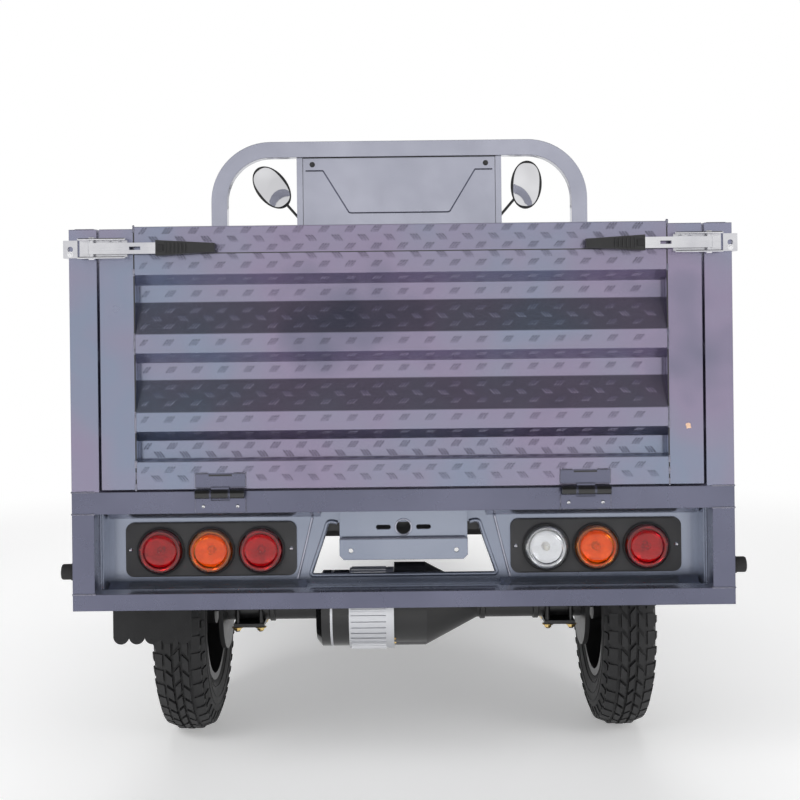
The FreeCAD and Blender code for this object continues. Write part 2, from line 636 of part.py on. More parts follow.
def chassis_frame():
    """Two rails under the deck, stepping down to the foot rails, and the mast that carries the
    steering head."""
    rail_z = ("rail_low", "rail_top")
    low_z = ("low_rail_low", "foot_top")
    pieces = []
    for side in (-1, 1):
        rail = about(f"{side} * rail_x", "rail_face / 2")
        pieces.append(box(rail, ("rail_back", "hoop_front"), rail_z))
        pieces.append(box(rail, ("bed_front", "hoop_front"), ("low_rail_low", "rail_top")))
        pieces.append(box(about(f"{side} * low_rail_x", "cross_tube / 2"),
                          ("bed_front", "foot_front"), low_z))
    for y in ("rail_back", "battery_back + tray_rest", "battery_front - tray_hold"):
        pieces.append(box(("-rail_x", "rail_x"), (y, f"{y} + cross_tube"), rail_z))
    pieces.append(box(("-half_body", "half_body"), ("bed_front", "hoop_front"), rail_z))
    pieces.append(box(("-rail_x - rail_face / 2", "rail_x + rail_face / 2"),
                      ("bed_front", "hoop_front"), low_z))
    pieces.append(box(("-low_rail_x", "low_rail_x"), ("foot_front - cross_tube", "foot_front"),
                      low_z))
    mast_y = "foot_front - cross_tube / 2"
    middle = "(head_low + head_top) / 2"
    pieces.append(strut((mast_y, "foot_top - mast_sink"),
                        (f"foot_y - {middle} * sin(rake) - mast_set",
                         f"foot_z + {middle} * cos(rake)"), "mast_radius"))
    head = place(bind(doc.addObject("Part::Cylinder", "HeadTube"), Radius="head_radius",
                      Height="head_top - head_low"),
                 "0", "foot_y - head_low * sin(rake)", "foot_z + head_low * cos(rake)",
                 (1, 0, 0), "rake")
    bore = place(bind(doc.addObject("Part::Cylinder", "HeadBore"),
                      Radius="stem_radius + stem_gap", Height="head_top - head_low + 2 * bore_past"),
                 "0", "foot_y - (head_low - bore_past) * sin(rake)",
                 "foot_z + (head_low - bore_past) * cos(rake)", (1, 0, 0), "rake")
    node("chassis_frame", [cut(fuse(pieces + [head]), [bore])])


def spring_hangers():
    """Two cheeks and a pin under the rail at each spring eye."""
    hangers = []
    for side in (-1, 1):
        for end in (-1, 1):
            eye = (f"rear_axle_y + {end} * leaf_half", "eye_z")
            pieces = [rod("x", about(f"{side} * rail_x", "leaf_width / 2 + hanger_sheet"), eye,
                          "eye_pin"),
                      box(about(f"{side} * rail_x", "leaf_width / 2 + hanger_sheet"),
                          about(eye[0], "hanger_half"), ("rail_low - hanger_sheet", "rail_low"))]
            for cheek in (-1, 1):
                reach = "(leaf_width / 2 + hanger_sheet / 2 + eye_fit)"
                pieces.append(box(about(f"{side} * rail_x + {cheek} * {reach}", "hanger_sheet / 2"),
                                  about(eye[0], "hanger_half"),
                                  ("eye_z - hanger_half", "rail_low")))
            hangers.append(fuse(pieces))
    node("spring_hangers", hangers)


def guard_hoop():
    """A bent square tube round the driver's back, with two upright ribs for the back panel."""
    centre = "half_body - hoop_tube / 2"
    bar = "hoop_top - hoop_tube / 2"
    path = [(f"-({centre})", "rail_top"), (f"-({centre})", bar), (centre, bar),
            (centre, "rail_top")]
    half = ("hoop_tube / 2", "hoop_depth / 2")
    section = [(f"-({centre}) - {half[0]}", f"-{half[1]}"),
               (f"-({centre}) + {half[0]}", f"-{half[1]}"),
               (f"-({centre}) + {half[0]}", half[1]), (f"-({centre}) - {half[0]}", half[1])]
    hoop = bent_tube(path, "hoop_bend", "XY_Plane", "rail_top", section)
    place(hoop, "0", "bed_front + hoop_depth / 2")
    rib_y = about("bed_front + hoop_depth / 2", "rib_depth / 2")
    pieces = [hoop, box(("sill_short - half_body", "half_body - sill_short"), rib_y,
                        ("rib_foot - sill_bar", "rib_foot"))]
    for side in (-1, 1):
        pieces.append(box(about(f"{side} * rib_x", "rib_face / 2"), rib_y,
                          ("rib_foot - sill_short", "hoop_top - hoop_tube / 2")))
    node("guard_hoop", [fuse(pieces)])


def back_panel():
    edge = "rib_x - rib_face / 2"
    middle = "bed_front + hoop_depth / 2"
    node("back_panel", [box((f"-({edge})", edge), (f"{middle} - panel_set", f"{middle} - panel_set + sheet"),
                            ("rib_foot", "hoop_top - hoop_tube"))])


# ---- driver's place --------------------------------------------------------------------------

def drivers_place():
    node("foot_floor", [box(("-foot_half", "foot_half"),
                            ("hoop_front - floor_tuck", "shield_y + sheet"),
                            ("foot_top", "foot_top + foot_sheet"))])
    floor = "foot_top + foot_sheet"
    shell = box(("-seat_half", "seat_half"), ("seat_back", "seat_front"), (floor, "seat_box_top"))
    hollow = box(("sheet - seat_half", "seat_half - sheet"),
                 ("seat_back + sheet", "seat_front - sheet"),
                 (f"{floor} - 1", "seat_box_top - sheet"))
    node("seat_box", [cut(shell, [hollow])])
    node("seat_cushion", [box(("-cushion_half", "cushion_half"), ("seat_back", "seat_front + cushion_nose"),
                              ("seat_box_top + soft_gap", "seat_box_top + cushion_thick"))])
    back = "bed_front + hoop_depth / 2 + rib_depth / 2 + soft_gap"
    node("backrest_cushion", [box(("-backrest_half", "backrest_half"),
                                  (back, f"{back} + backrest_thick"),
                                  ("backrest_low", "backrest_top"))])
    wing = ("shield_y - shield_wing", "shield_y")
    pieces = [box(("-foot_half", "foot_half"), ("shield_y", "shield_y + sheet"),
                  (floor, "shield_top"))]
    for side in (-1, 1):
        pieces.append(box(mirrored(side, ("foot_half - sheet", "foot_half")),
                          (wing[0], "shield_y + sheet"), (floor, "shield_top")))
    node("leg_shield", [fuse(pieces)])
    node("battery_box", [box(("-battery_half", "battery_half"), ("battery_back", "battery_front"),
                             ("battery_low", "rail_low"))])


# ---- rear axle -------------------------------------------------------------------------------

def rear_axle():
    """A live axle: tube, gear case with its flare, spring seats, backplates and stub shafts."""
    at = ("rear_axle_y", "tyre_radius")
    pieces = [rod("x", ("-backplate_out", "backplate_out"), at, "axle_tube"),
              rod("x", ("-wheel_x - hub_half", "wheel_x + hub_half"), at, "stub_radius"),
              rod("x", ("-case_left", "case_right"), at, "banjo_radius"),
              rod("x", ("case_right", "flare_right"), at, "banjo_radius", "axle_tube"),
              rod("x", ("-case_left", "case_right"), ("motor_y", "motor_z"), "case_radius"),
              box(("-case_left", "case_right"), ("motor_y", "rear_axle_y"),
                  ("motor_z - case_radius + case_neck", "motor_z + case_radius - case_neck"))]
    for side in (-1, 1):
        pieces.append(box(about(f"{side} * rail_x", "leaf_width / 2"),
                          about("rear_axle_y", "seat_pad_half"),
                          ("tyre_radius", "spring_low")))
        pieces.append(rod("x", mirrored(side, ("backplate_out - backplate_thick", "backplate_out")),
                          at, "backplate_radius"))
    node("rear_axle", [fuse(pieces)])


def motor():
    at = ("motor_y", "motor_z")
    node("drive_motor", [fuse([
        rod("x", ("cover_bevel - motor_left", "-casing_left"), at, "cover_radius"),
        rod("x", ("-motor_left", "cover_bevel - motor_left"), at,
            "cover_radius - cover_bevel", "cover_radius"),
        rod("x", ("-casing_left", "-flange_left"), at, "motor_radius"),
        rod("x", ("-flange_left", "-case_left"), at, "motor_flange")])])


def leaf_springs():
    """Four arched leaves over each side of the axle, with eyes at the main leaf's ends and the
    clamp that holds them on the spring seat."""
    springs = []
    shares = ("1", "leaf_two", "leaf_three", "leaf_four")
    for side in (-1, 1):
        x = about(f"{side} * rail_x", "leaf_width / 2")
        centre = ("rear_axle_y", "spring_centre")
        pieces = []
        for leaf, share in enumerate(shares):
            ring = cut(rod("x", x, centre, f"leaf_radius + {leaf + 1} * leaf_thick"),
                       [rod("x", x, centre, f"leaf_radius + {leaf} * leaf_thick")])
            window = box(x, about("rear_axle_y", f"{share} * leaf_half"),
                         ("spring_low - leaf_thick", "eye_z + leaf_half"))
            pieces.append(common(ring, window))
        bores = []
        for end in (-1, 1):
            eye = (f"rear_axle_y + {end} * leaf_half", "eye_z")
            pieces.append(rod("x", x, eye, "eye_radius"))
            bores.append(rod("x", x, eye, "eye_pin + eye_fit"))
        seat = about("rear_axle_y", "bolt_y + clamp_edge")
        wide = about(f"{side} * rail_x", "bolt_x + clamp_edge")
        pieces.append(box(wide, seat, ("spring_top", "spring_top + clamp_sheet")))
        under = "tyre_radius - axle_tube"
        pieces.append(box(wide, seat, (f"{under} - clamp_sheet", under)))
        for bolt_side in (-1, 1):
            for end in (-1, 1):
                at = (f"{side} * rail_x + {bolt_side} * bolt_x", f"rear_axle_y + {end} * bolt_y")
                pieces.append(rod("z", (f"{under} - clamp_sheet - bolt_foot",
                                        "spring_top + clamp_sheet + bolt_head"), at, "bolt_radius"))
        springs.append(cut(fuse(pieces), bores))
    node("leaf_springs", springs)


# ---- wheels ----------------------------------------------------------------------------------

def tyre(name, x, y):
    half = "tyre_width / 2"
    bead = "rim_half - rim_wall"
    lip = "rim_radius + flange_rise"
    wall = "(rim_radius + tyre_radius) / 2"
    section = [(f"-({bead})", "rim_radius"), (bead, "rim_radius"), (bead, lip),
               (f"{half} - shoulder_in", "tyre_radius - shoulder_drop", half, wall),
               (f"shoulder_in - {half}", "tyre_radius - shoulder_drop", "0", "tyre_radius"),
               (f"-({bead})", lip, f"-{half}", wall)]
    node(name, [revolve(section, x=x, y=y, z="tyre_radius")])


def rim(name, x, y, bore):
    outer = "rim_radius + flange_rise"
    inner = "rim_radius - rim_wall"
    bead = "rim_half - rim_wall"
    section = [("-rim_half", outer), (f"-({bead})", outer), (f"-({bead})", "rim_radius"),
               (bead, "rim_radius"), (bead, outer), ("rim_half", outer), ("rim_half", inner),
               ("disc_half", inner), ("disc_half", "hub_radius"), ("hub_half", "hub_radius"),
               ("hub_half", bore), ("-hub_half", bore), ("-hub_half", "hub_radius"),
               ("-disc_half", "hub_radius"), ("-disc_half", inner), ("-rim_half", inner)]
    node(name, [revolve(section, x=x, y=y, z="tyre_radius")])


def wheels():
    for name, x, y, bore in (
            ("rear_left", "-wheel_x", "rear_axle_y", "stub_radius + fit"),
            ("rear_right", "wheel_x", "rear_axle_y", "stub_radius + fit"),
            ("front", "0", "front_axle_y", "stub_radius + fit")):
        tyre(f"{name}_tyre", x, y)
        rim(f"{name}_rim", x, y, bore)


# ---- steering --------------------------------------------------------------------------------

def steered(name, solids):
    """A sub-part drawn about the steering axis: its z runs up the axis from level with the
    axle, and its Placement tips it back by the rake."""
    node(name, solids, "0", "tail_y + foot_y", "foot_z", (1, 0, 0), "rake")


def front_fork():
    legs = []
    for side in (-1, 1):
        at = (f"{side} * leg_x", "fork_offset")
        legs.append(rod("z", ("-leg_foot", "slider_top"), at, "slider_radius"))
        legs.append(rod("z", ("slider_top", "leg_top"), at, "leg_radius"))
    legs.append(rod("x", ("-leg_x", "leg_x"), ("fork_offset", "0"), "stub_radius"))
    legs.append(box(("-leg_x - slider_radius", "leg_x + slider_radius"),
                    ("-yoke_back", "fork_offset + leg_radius + yoke_front"),
                    ("leg_top", "leg_top + yoke_thick")))
    legs.append(rod("z", ("leg_top", "clamp_top"), ("0", "0"), "stem_radius"))
    legs.append(rod("z", ("leg_top", "head_low - stem_gap"), ("0", "0"), "collar_radius"))
    legs.append(rod("z", ("head_top + stem_gap", "bar_low - clamp_rise"), ("0", "0"),
                    "collar_radius"))
    legs.append(box(about("0", "lamp_bracket_half"),
                    ("lamp_bracket_y", "lamp_bracket_y + lamp_bracket_sheet"),
                    ("leg_top", "lamp_bracket_top")))
    clamp = box(about("0", "clamp_half"), about("0", "clamp_deep"), about("bar_low", "clamp_rise"))
    grip = rod("x", about("0", "clamp_half + 1"), ("0", "bar_low"), "bar_radius + fit")
    steered("front_fork", [cut(fuse(legs + [clamp]), [grip])])


def handlebar():
    path = [("-bar_half", "bar_high"), ("bar_straight - bar_half", "bar_high"),
            ("-bar_middle", "bar_low"), ("bar_middle", "bar_low"),
            ("bar_half - bar_straight", "bar_high"), ("bar_half", "bar_high")]
    bar = bent_tube(path, "bar_bend", "YZ_Plane", "-bar_half", ("0", "bar_high", "bar_radius"))
    steered("handlebar", [bar])
    grips = []
    for side in (-1, 1):
        span = mirrored(side, ("bar_half - grip_long", "bar_half"))
        grips.append(cut(rod("x", span, ("0", "bar_high"), "grip_radius"),
                         [rod("x", span, ("0", "bar_high"), "bar_radius + fit")]))
    steered("handlebar_grips", grips)


def headlamp():
    face = "lamp_bracket_y + lamp_bracket_sheet"
    seat = f"{face} + lamp_radius * sin(rake) + lamp_gap"
    neck = rod("y", (face, f"{seat} + lamp_neck"), ("0", "headlamp_at"), "lamp_neck")
    shell = bind(doc.addObject("Part::Cylinder", "Shell"), Radius="lamp_radius",
                 Height="lamp_long")
    place(shell, "0", seat, "headlamp_at", (1, 0, 0), "-90 - rake")
    steered("headlamp", [fuse([neck, shell])])


def front_mudguard():
    """A sheet arch over the tyre with turned-down lips and a stay to each fork leg."""
    def sector(half, radius):
        thing = bind(doc.addObject("Part::Cylinder", "Sector"), Radius=radius,
                     Height=f"2 * ({half})", Angle="guard_sweep")
        thing.Placement = FreeCAD.Placement(
            FreeCAD.Vector(), FreeCAD.Rotation(FreeCAD.Vector(1, 1, 1), 120))
        thing.setExpression("Placement.Base.x", formula(f"-({half})"))
        return thing

    inner = "guard_radius - guard_sheet"
    lip = "guard_radius - guard_lip"
    shell = cut(sector("guard_half", "guard_radius"),
                [rod("x", ("sheet - guard_half", "guard_half - sheet"), ("0", "0"), inner),
                 rod("x", ("-guard_half - 1", "guard_half + 1"), ("0", "0"), lip)])
    stay = "guard_radius - guard_lip / 2"
    lean = "90 + rake - guard_front"
    stays = [rod("x", mirrored(side, ("guard_half - 2", "leg_x - leg_radius - soft_gap")),
                 (f"({stay}) * cos({lean})", f"({stay}) * sin({lean})"), "stay_radius")
             for side in (-1, 1)]
    node("front_mudguard", [fuse([shell] + stays)], "0", "tail_y + front_axle_y", "tyre_radius",
         (1, 0, 0), "guard_front")


def mirrors():
    """Two stalks off the handlebar, each with an oval head, flat towards the driver. The left
    head has been turned further on its stalk."""
    solids = []
    for side, lean in ((-1, "mirror_left_lean"), (1, "mirror_right_lean")):
        foot = f"{side} * mirror_stem_x"
        base = "bar_z + bar_radius + mirror_foot_gap"
        path = [(foot, base), (foot, "mirror_knee"),
                (f"{side} * (mirror_x - mirror_reach)", "mirror_z - mirror_dip")]
        stalk = bent_tube(path, "bar_bend", "XY_Plane", base, (foot, "0", "mirror_stem"))
        place(stalk, "0", "bar_y")
        head = bind(doc.addObject("Part::Ellipsoid", "Head"), Radius1="mirror_deep",
                    Radius2="mirror_wide", Radius3="mirror_tall")
        head.Angle1 = -90
        head.Angle2 = 0
        place(head, axis=(1, 0, 0), angle="90")
        turned = doc.addObject("Part::Compound", "TurnedHead")
        turned.Links = [head]
        place(turned, f"{side} * mirror_x", "bar_y - mirror_back", "mirror_z", (0, 1, 0),
              lean)
        solids.append(fuse([stalk, turned]))
    node("mirrors", solids)


for build in (bed_frame, bed_floor, headboard, tailgate, hinges, latches, tail_panel,
              plate_bracket, tail_lamps, mudflap, tie_down_pegs, chassis_frame, spring_hangers,
              guard_hoop, back_panel, drivers_place, rear_axle, motor, leaf_springs, wheels, front_fork,
              handlebar, headlamp, front_mudguard, mirrors):
    build()
side_wall("side_wall_left", -1)
side_wall("side_wall_right", 1)
doc.recompute()

for thing in doc.Objects:
    if {"Invalid", "Error"} & set(thing.State):
        raise RuntimeError(f"{thing.Label} ({thing.TypeId}) did not compute: {thing.State}")
for thing in nodes:
    if thing.Shape.isNull() or not thing.Shape.isValid() or not thing.Shape.Solids:
        raise RuntimeError(f"{thing.Label} has no sound solid")

os.makedirs("parts", exist_ok=True)
for thing in nodes:
    thing.Shape.exportStep(f"parts/{thing.Label}.step")
print(len(nodes), "sub-parts written")
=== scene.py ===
"""Looks of the electric cargo tricycle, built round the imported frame. Metres, +Y forward."""

import bpy
import bmesh
import json
import math
import random
from mathutils import Matrix, Vector


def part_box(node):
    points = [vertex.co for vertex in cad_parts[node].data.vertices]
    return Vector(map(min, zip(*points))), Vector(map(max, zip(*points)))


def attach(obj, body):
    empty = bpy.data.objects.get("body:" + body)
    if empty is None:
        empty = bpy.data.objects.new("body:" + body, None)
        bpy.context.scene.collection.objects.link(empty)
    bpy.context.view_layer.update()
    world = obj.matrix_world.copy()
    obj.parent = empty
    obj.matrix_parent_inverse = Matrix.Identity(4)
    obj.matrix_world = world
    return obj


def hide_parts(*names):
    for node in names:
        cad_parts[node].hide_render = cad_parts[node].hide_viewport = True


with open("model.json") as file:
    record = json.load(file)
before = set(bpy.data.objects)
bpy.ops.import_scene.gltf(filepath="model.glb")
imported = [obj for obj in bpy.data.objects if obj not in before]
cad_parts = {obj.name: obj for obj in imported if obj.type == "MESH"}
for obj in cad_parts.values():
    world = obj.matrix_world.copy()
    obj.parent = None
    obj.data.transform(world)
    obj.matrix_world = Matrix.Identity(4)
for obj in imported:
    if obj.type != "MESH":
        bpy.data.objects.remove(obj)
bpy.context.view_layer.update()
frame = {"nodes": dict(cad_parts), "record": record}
NODES = frame["nodes"]
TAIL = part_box("tailgate_panel")[0][1]          # the tailgate's outer plane, y
REAR = Vector((0, -1, 0))
SIDES = (-1, 1)
SIDE_NAME = {-1: "left", 1: "right"}
FRAME_TUBE = 0.04                              # the load box's posts
TYRE_R, TYRE_HALF_BEAD, RIM_R = 0.266, 0.0415, 0.152


# ---- materials -------------------------------------------------------------------------------

def material(name, colour, roughness=0.4, metallic=0.0, coat=0.0, **sockets):
    """A Principled material; the node tree is then dressed by the helpers below."""
    mat = bpy.data.materials.new(name)
    mat.use_nodes = True
    shader = mat.node_tree.nodes["Principled BSDF"]
    shader.inputs["Base Color"].default_value = (*colour, 1)
    shader.inputs["Roughness"].default_value = roughness
    shader.inputs["Metallic"].default_value = metallic
    shader.inputs["Coat Weight"].default_value = coat
    shader.inputs["Coat Roughness"].default_value = 0.06
    for socket, setting in sockets.items():
        shader.inputs[socket.replace("_", " ")].default_value = setting
    return mat


def noise(mat, scale, detail=4.0, stretch=(1, 1, 1), rough=0.55):
    """A noise texture in object space, so it stays put on the piece."""
    nodes, links = mat.node_tree.nodes, mat.node_tree.links
    where = nodes.new("ShaderNodeTexCoord")
    mapping = nodes.new("ShaderNodeMapping")
    mapping.inputs["Scale"].default_value = stretch
    texture = nodes.new("ShaderNodeTexNoise")
    texture.inputs["Scale"].default_value = scale
    texture.inputs["Detail"].default_value = detail
    texture.inputs["Roughness"].default_value = rough
    links.new(where.outputs["Object"], mapping.inputs["Vector"])
    links.new(mapping.outputs["Vector"], texture.inputs["Vector"])
    return texture.outputs["Fac"]


def ramp(mat, source, stops):
    """Maps a 0 to 1 value to colours; stops are (place, colour)."""
    nodes, links = mat.node_tree.nodes, mat.node_tree.links
    node = nodes.new("ShaderNodeValToRGB")
    elements = node.color_ramp.elements
    while len(elements) < len(stops):
        elements.new(0.5)
    for element, (at, colour) in zip(elements, stops):
        element.position = at
        element.color = (*colour, 1)
    links.new(source, node.inputs["Fac"])
    return node.outputs["Color"]


def spread(mat, source, low, high):
    """Maps a 0 to 1 value to a range of numbers."""
    nodes, links = mat.node_tree.nodes, mat.node_tree.links
    node = nodes.new("ShaderNodeMapRange")
    node.inputs["To Min"].default_value = low
    node.inputs["To Max"].default_value = high
    links.new(source, node.inputs["Value"])
    return node.outputs["Result"]


def plug(mat, source, socket):
    mat.node_tree.links.new(source, mat.node_tree.nodes["Principled BSDF"].inputs[socket])


def mottle(mat, scale, detail, stops):
    """Varies the colour over the surface."""
    plug(mat, ramp(mat, noise(mat, scale, detail), stops), "Base Color")


def scuff(mat, low, high, scale, detail, stretch=(1, 1, 1)):
    """Varies the roughness over the surface."""
    plug(mat, spread(mat, noise(mat, scale, detail, stretch), low, high), "Roughness")


def bump(mat, source, strength, distance, edge=0.0):
    """Surface relief; edge also rounds what light sees of a piece's sharp edges."""
    nodes, links = mat.node_tree.nodes, mat.node_tree.links
    node = nodes.new("ShaderNodeBump")
    if edge:
        rounded = nodes.new("ShaderNodeBevel")
        rounded.samples = 4
        rounded.inputs["Radius"].default_value = edge
        links.new(rounded.outputs["Normal"], node.inputs["Normal"])
    node.inputs["Strength"].default_value = strength
    node.inputs["Distance"].default_value = distance
    links.new(source, node.inputs["Height"])
    plug(mat, node.outputs["Normal"], "Normal")


EDGE = 0.0025                                  # how far light rounds a painted edge


def smoked_paint(name, low, high, roughness=0.26, tint=True):
    """Gloss gunmetal paint: a metal flake base under clear coat, with a faint colour play."""
    mat = material(name, low, roughness, 0.85, 0.6)
    stops = [(0.3, low), (0.5, [(a + b) / 2 for a, b in zip(low, high)]), (0.7, high)]
    if tint:
        red, green, blue = high
        stops = [(0.28, low), (0.42, (red * 1.05, green * 0.93, blue * 0.98)), (0.55, high),
                 (0.66, (red * 0.88, green * 1.05, blue * 1.04)), (0.8, high)]
    mottle(mat, 3.2, 3, stops)
    scuff(mat, roughness - 0.07, roughness + 0.1, 14, 5)
    bump(mat, noise(mat, 22, 3), 0.035, 0.003, EDGE)
    return mat


def black_finish(name, shade, roughness, grain, depth, metallic=0.0, coat=0.0):
    """Black paint, plastic or rubber; grain and depth give its fine texture."""
    mat = material(name, (shade, shade, shade * 1.05), roughness, metallic, coat)
    scuff(mat, roughness - 0.08, roughness + 0.12, 40, 4)
    bump(mat, noise(mat, grain, 3), depth, 0.001)
    return mat


BODY_PAINT = smoked_paint("body_paint", (0.17, 0.17, 0.25), (0.27, 0.26, 0.36), 0.22)
# The hoop's and back panel's own lighter paint, also used as a painted highlight on the tail pans'
# top bands and folds and on the plate bracket's rim and fold.
HOOP_PAINT_AND_PAINTED_HIGHLIGHT = smoked_paint("hoop_paint_and_painted_highlight", (0.36, 0.37, 0.45), (0.5, 0.51, 0.6), 0.2, False)
# The frame's own paint, also used on the back panel's bead as painted shade.
FRAME_PAINT_AND_PAINTED_SHADE = smoked_paint("frame_paint", (0.1, 0.105, 0.16), (0.16, 0.165, 0.24), 0.26, False)
TRAY_PAINT = smoked_paint("tray_paint", (0.23, 0.26, 0.34), (0.33, 0.36, 0.44), 0.22, False)
DECK_PAINT = smoked_paint("deck_paint", (0.13, 0.14, 0.19), (0.2, 0.21, 0.26), 0.36, False)
BLACK_PAINT = black_finish("black_paint", 0.022, 0.4, 160, 0.15, 0.0, 0.3)
BLACK_PLASTIC = black_finish("black_plastic", 0.018, 0.42, 900, 0.35)
RUBBER = black_finish("black_rubber", 0.02, 0.7, 500, 0.4)
TYRE_RUBBER = black_finish("tyre_rubber", 0.022, 0.62, 260, 0.3)
VINYL = black_finish("seat_vinyl", 0.022, 0.45, 700, 0.6)
PLATE_GREY = black_finish("plate_grey", 0.05, 0.55, 600, 0.3)
GLOSS_BLACK = black_finish("gloss_black", 0.012, 0.16, 60, 0.05, 0.3, 0.6)
WELD = smoked_paint("weld_bead", (0.13, 0.13, 0.19), (0.34, 0.34, 0.42), 0.3, False)
MIRROR = material("mirror_glass", (0.72, 0.72, 0.74), 0.03, 1.0)
mottle(MIRROR, 6, 2, [(0.35, (0.6, 0.6, 0.62)), (0.65, (0.78, 0.78, 0.8))])
CHIP = material("bare_primer", (0.85, 0.55, 0.36), 0.5)
mottle(CHIP, 200, 3, [(0.3, (0.75, 0.45, 0.3)), (0.7, (0.9, 0.65, 0.48))])
ZINC = material("zinc_steel", (0.72, 0.72, 0.75), 0.26, 1.0)
scuff(ZINC, 0.18, 0.4, 30, 5, (1, 1, 12))
mottle(ZINC, 9, 4, [(0.35, (0.6, 0.6, 0.64)), (0.65, (0.8, 0.8, 0.82))])
CAST = material("motor_casing", (0.74, 0.75, 0.78), 0.38, 1.0)
scuff(CAST, 0.3, 0.5, 120, 4)
bump(CAST, noise(CAST, 300, 3), 0.25, 0.0006)
GOLD = material("gold_zinc", (0.83, 0.6, 0.2), 0.3, 1.0)
mottle(GOLD, 60, 4, [(0.3, (0.75, 0.5, 0.18)), (0.7, (0.86, 0.68, 0.3))])
CHROME = material("bright_steel", (0.85, 0.85, 0.87), 0.14, 1.0)
scuff(CHROME, 0.08, 0.2, 20, 4)

NODE_FINISH = {
    "frame_paint": FRAME_PAINT_AND_PAINTED_SHADE, "body_paint": BODY_PAINT, "deck_paint": DECK_PAINT,
    "zinc_steel": ZINC, "black_plastic": BLACK_PLASTIC, "black_rubber": RUBBER,
    "black_paint": BLACK_PAINT, "seat_vinyl": VINYL, "motor_casing": CAST,
    "tyre_rubber": TYRE_RUBBER, "lamp_lens": BLACK_PLASTIC,
}
# Nodes whose paint differs in the photograph from the rest of their slot.
OWN_FINISH = {"guard_hoop": HOOP_PAINT_AND_PAINTED_HIGHLIGHT, "back_panel": HOOP_PAINT_AND_PAINTED_HIGHLIGHT, "tail_panel": TRAY_PAINT,
              "plate_bracket": TRAY_PAINT, "tail_lamp_plates": PLATE_GREY}
for entry in frame["record"]["subparts"]:
    part = NODES[entry["node"]]
    part.data.materials.clear()
    part.data.materials.append(OWN_FINISH.get(entry["node"]) or NODE_FINISH[entry["material_slot"]])


# ---- floor, light and camera -----------------------------------------------------------------

def ray_kinds(nodes, links, names):
    """1 for a ray of any of the named kinds, else 0."""
    path = nodes.new("ShaderNodeLightPath")
    total = path.outputs[names[0]]
    for name in names[1:]:
        either = nodes.new("ShaderNodeMath")
        either.operation = "MAXIMUM"
        links.new(total, either.inputs[0])
        links.new(path.outputs[name], either.inputs[1])
        total = either.outputs[0]
    return total


FLOOR_LIFT, FADE_FROM, FADE_TO = 0.3, 1.9, 3.4  # how pale near by, and where white begins and ends


def white_floor():
    """A pale floor that keeps the shadow near the vehicle and runs out to plain white."""
    bpy.ops.mesh.primitive_plane_add(size=60, location=(0, 0, 0))
    floor = bpy.context.object
    floor.name = "studio_floor"
    mat = material("floor_white", (0.86, 0.86, 0.86), 0.6)
    mottle(mat, 0.6, 2, [(0.3, (0.85, 0.85, 0.85)), (0.7, (0.88, 0.88, 0.88))])
    nodes, links = mat.node_tree.nodes, mat.node_tree.links
    seen = ray_kinds(nodes, links, ("Is Camera Ray", "Is Glossy Ray", "Is Transmission Ray"))
    lift = nodes.new("ShaderNodeEmission")
    level = nodes.new("ShaderNodeMath")
    level.operation = "MULTIPLY"
    level.inputs[1].default_value = FLOOR_LIFT
    links.new(seen, level.inputs[0])
    links.new(level.outputs[0], lift.inputs["Strength"])
    both = nodes.new("ShaderNodeAddShader")
    links.new(nodes["Principled BSDF"].outputs[0], both.inputs[0])
    links.new(lift.outputs[0], both.inputs[1])
    where = nodes.new("ShaderNodeTexCoord")
    far = nodes.new("ShaderNodeVectorMath")
    far.operation = "LENGTH"
    links.new(where.outputs["Object"], far.inputs[0])
    fade = nodes.new("ShaderNodeMapRange")
    fade.interpolation_type = "SMOOTHSTEP"
    fade.inputs["From Min"].default_value = FADE_FROM
    fade.inputs["From Max"].default_value = FADE_TO
    links.new(far.outputs["Value"], fade.inputs["Value"])
    share = nodes.new("ShaderNodeMath")
    share.operation = "MULTIPLY"
    links.new(fade.outputs["Result"], share.inputs[0])
    links.new(seen, share.inputs[1])
    white = nodes.new("ShaderNodeEmission")
    mix = nodes.new("ShaderNodeMixShader")
    links.new(share.outputs[0], mix.inputs["Fac"])
    links.new(both.outputs[0], mix.inputs[1])
    links.new(white.outputs[0], mix.inputs[2])
    links.new(mix.outputs[0], nodes["Material Output"].inputs["Surface"])
    floor.data.materials.append(mat)


# Brightness of the world from straight down (0) past the horizon (0.5) to straight up (1).
CEILING = [(0.0, 0.6), (0.49, 0.9), (0.5, 1.0), (0.63, 0.95), (0.7, 0.42), (0.79, 0.12),
           (1.0, 0.08)]


def studio_world():
    """White all round the horizon, where metal shows the same white as the backdrop, under a
    dark studio ceiling."""
    world = bpy.data.worlds.new("studio")
    bpy.context.scene.world = world
    world.use_nodes = True
    nodes, links = world.node_tree.nodes, world.node_tree.links
    where = nodes.new("ShaderNodeTexCoord")
    split = nodes.new("ShaderNodeSeparateXYZ")
    links.new(where.outputs["Generated"], split.inputs["Vector"])
    rise = nodes.new("ShaderNodeValToRGB")
    elements = rise.color_ramp.elements
    while len(elements) < len(CEILING):
        elements.new(0.5)
    for element, (at, level) in zip(elements, CEILING):
        element.position = at
        element.color = (level, level, level, 1)
    height = nodes.new("ShaderNodeMapRange")
    height.inputs["From Min"].default_value = -1
    links.new(split.outputs["Z"], height.inputs["Value"])
    links.new(height.outputs["Result"], rise.inputs["Fac"])
    links.new(rise.outputs["Color"], nodes["Background"].inputs["Color"])
    seen = nodes.new("ShaderNodeBackground")
    seen.inputs["Color"].default_value = (1, 1, 1, 1)
    mix = nodes.new("ShaderNodeMixShader")
    links.new(ray_kinds(nodes, links, ("Is Camera Ray", "Is Transmission Ray")), mix.inputs["Fac"])
    links.new(nodes["Background"].outputs["Background"], mix.inputs[1])
    links.new(seen.outputs["Background"], mix.inputs[2])
    links.new(mix.outputs["Shader"], nodes["World Output"].inputs["Surface"])


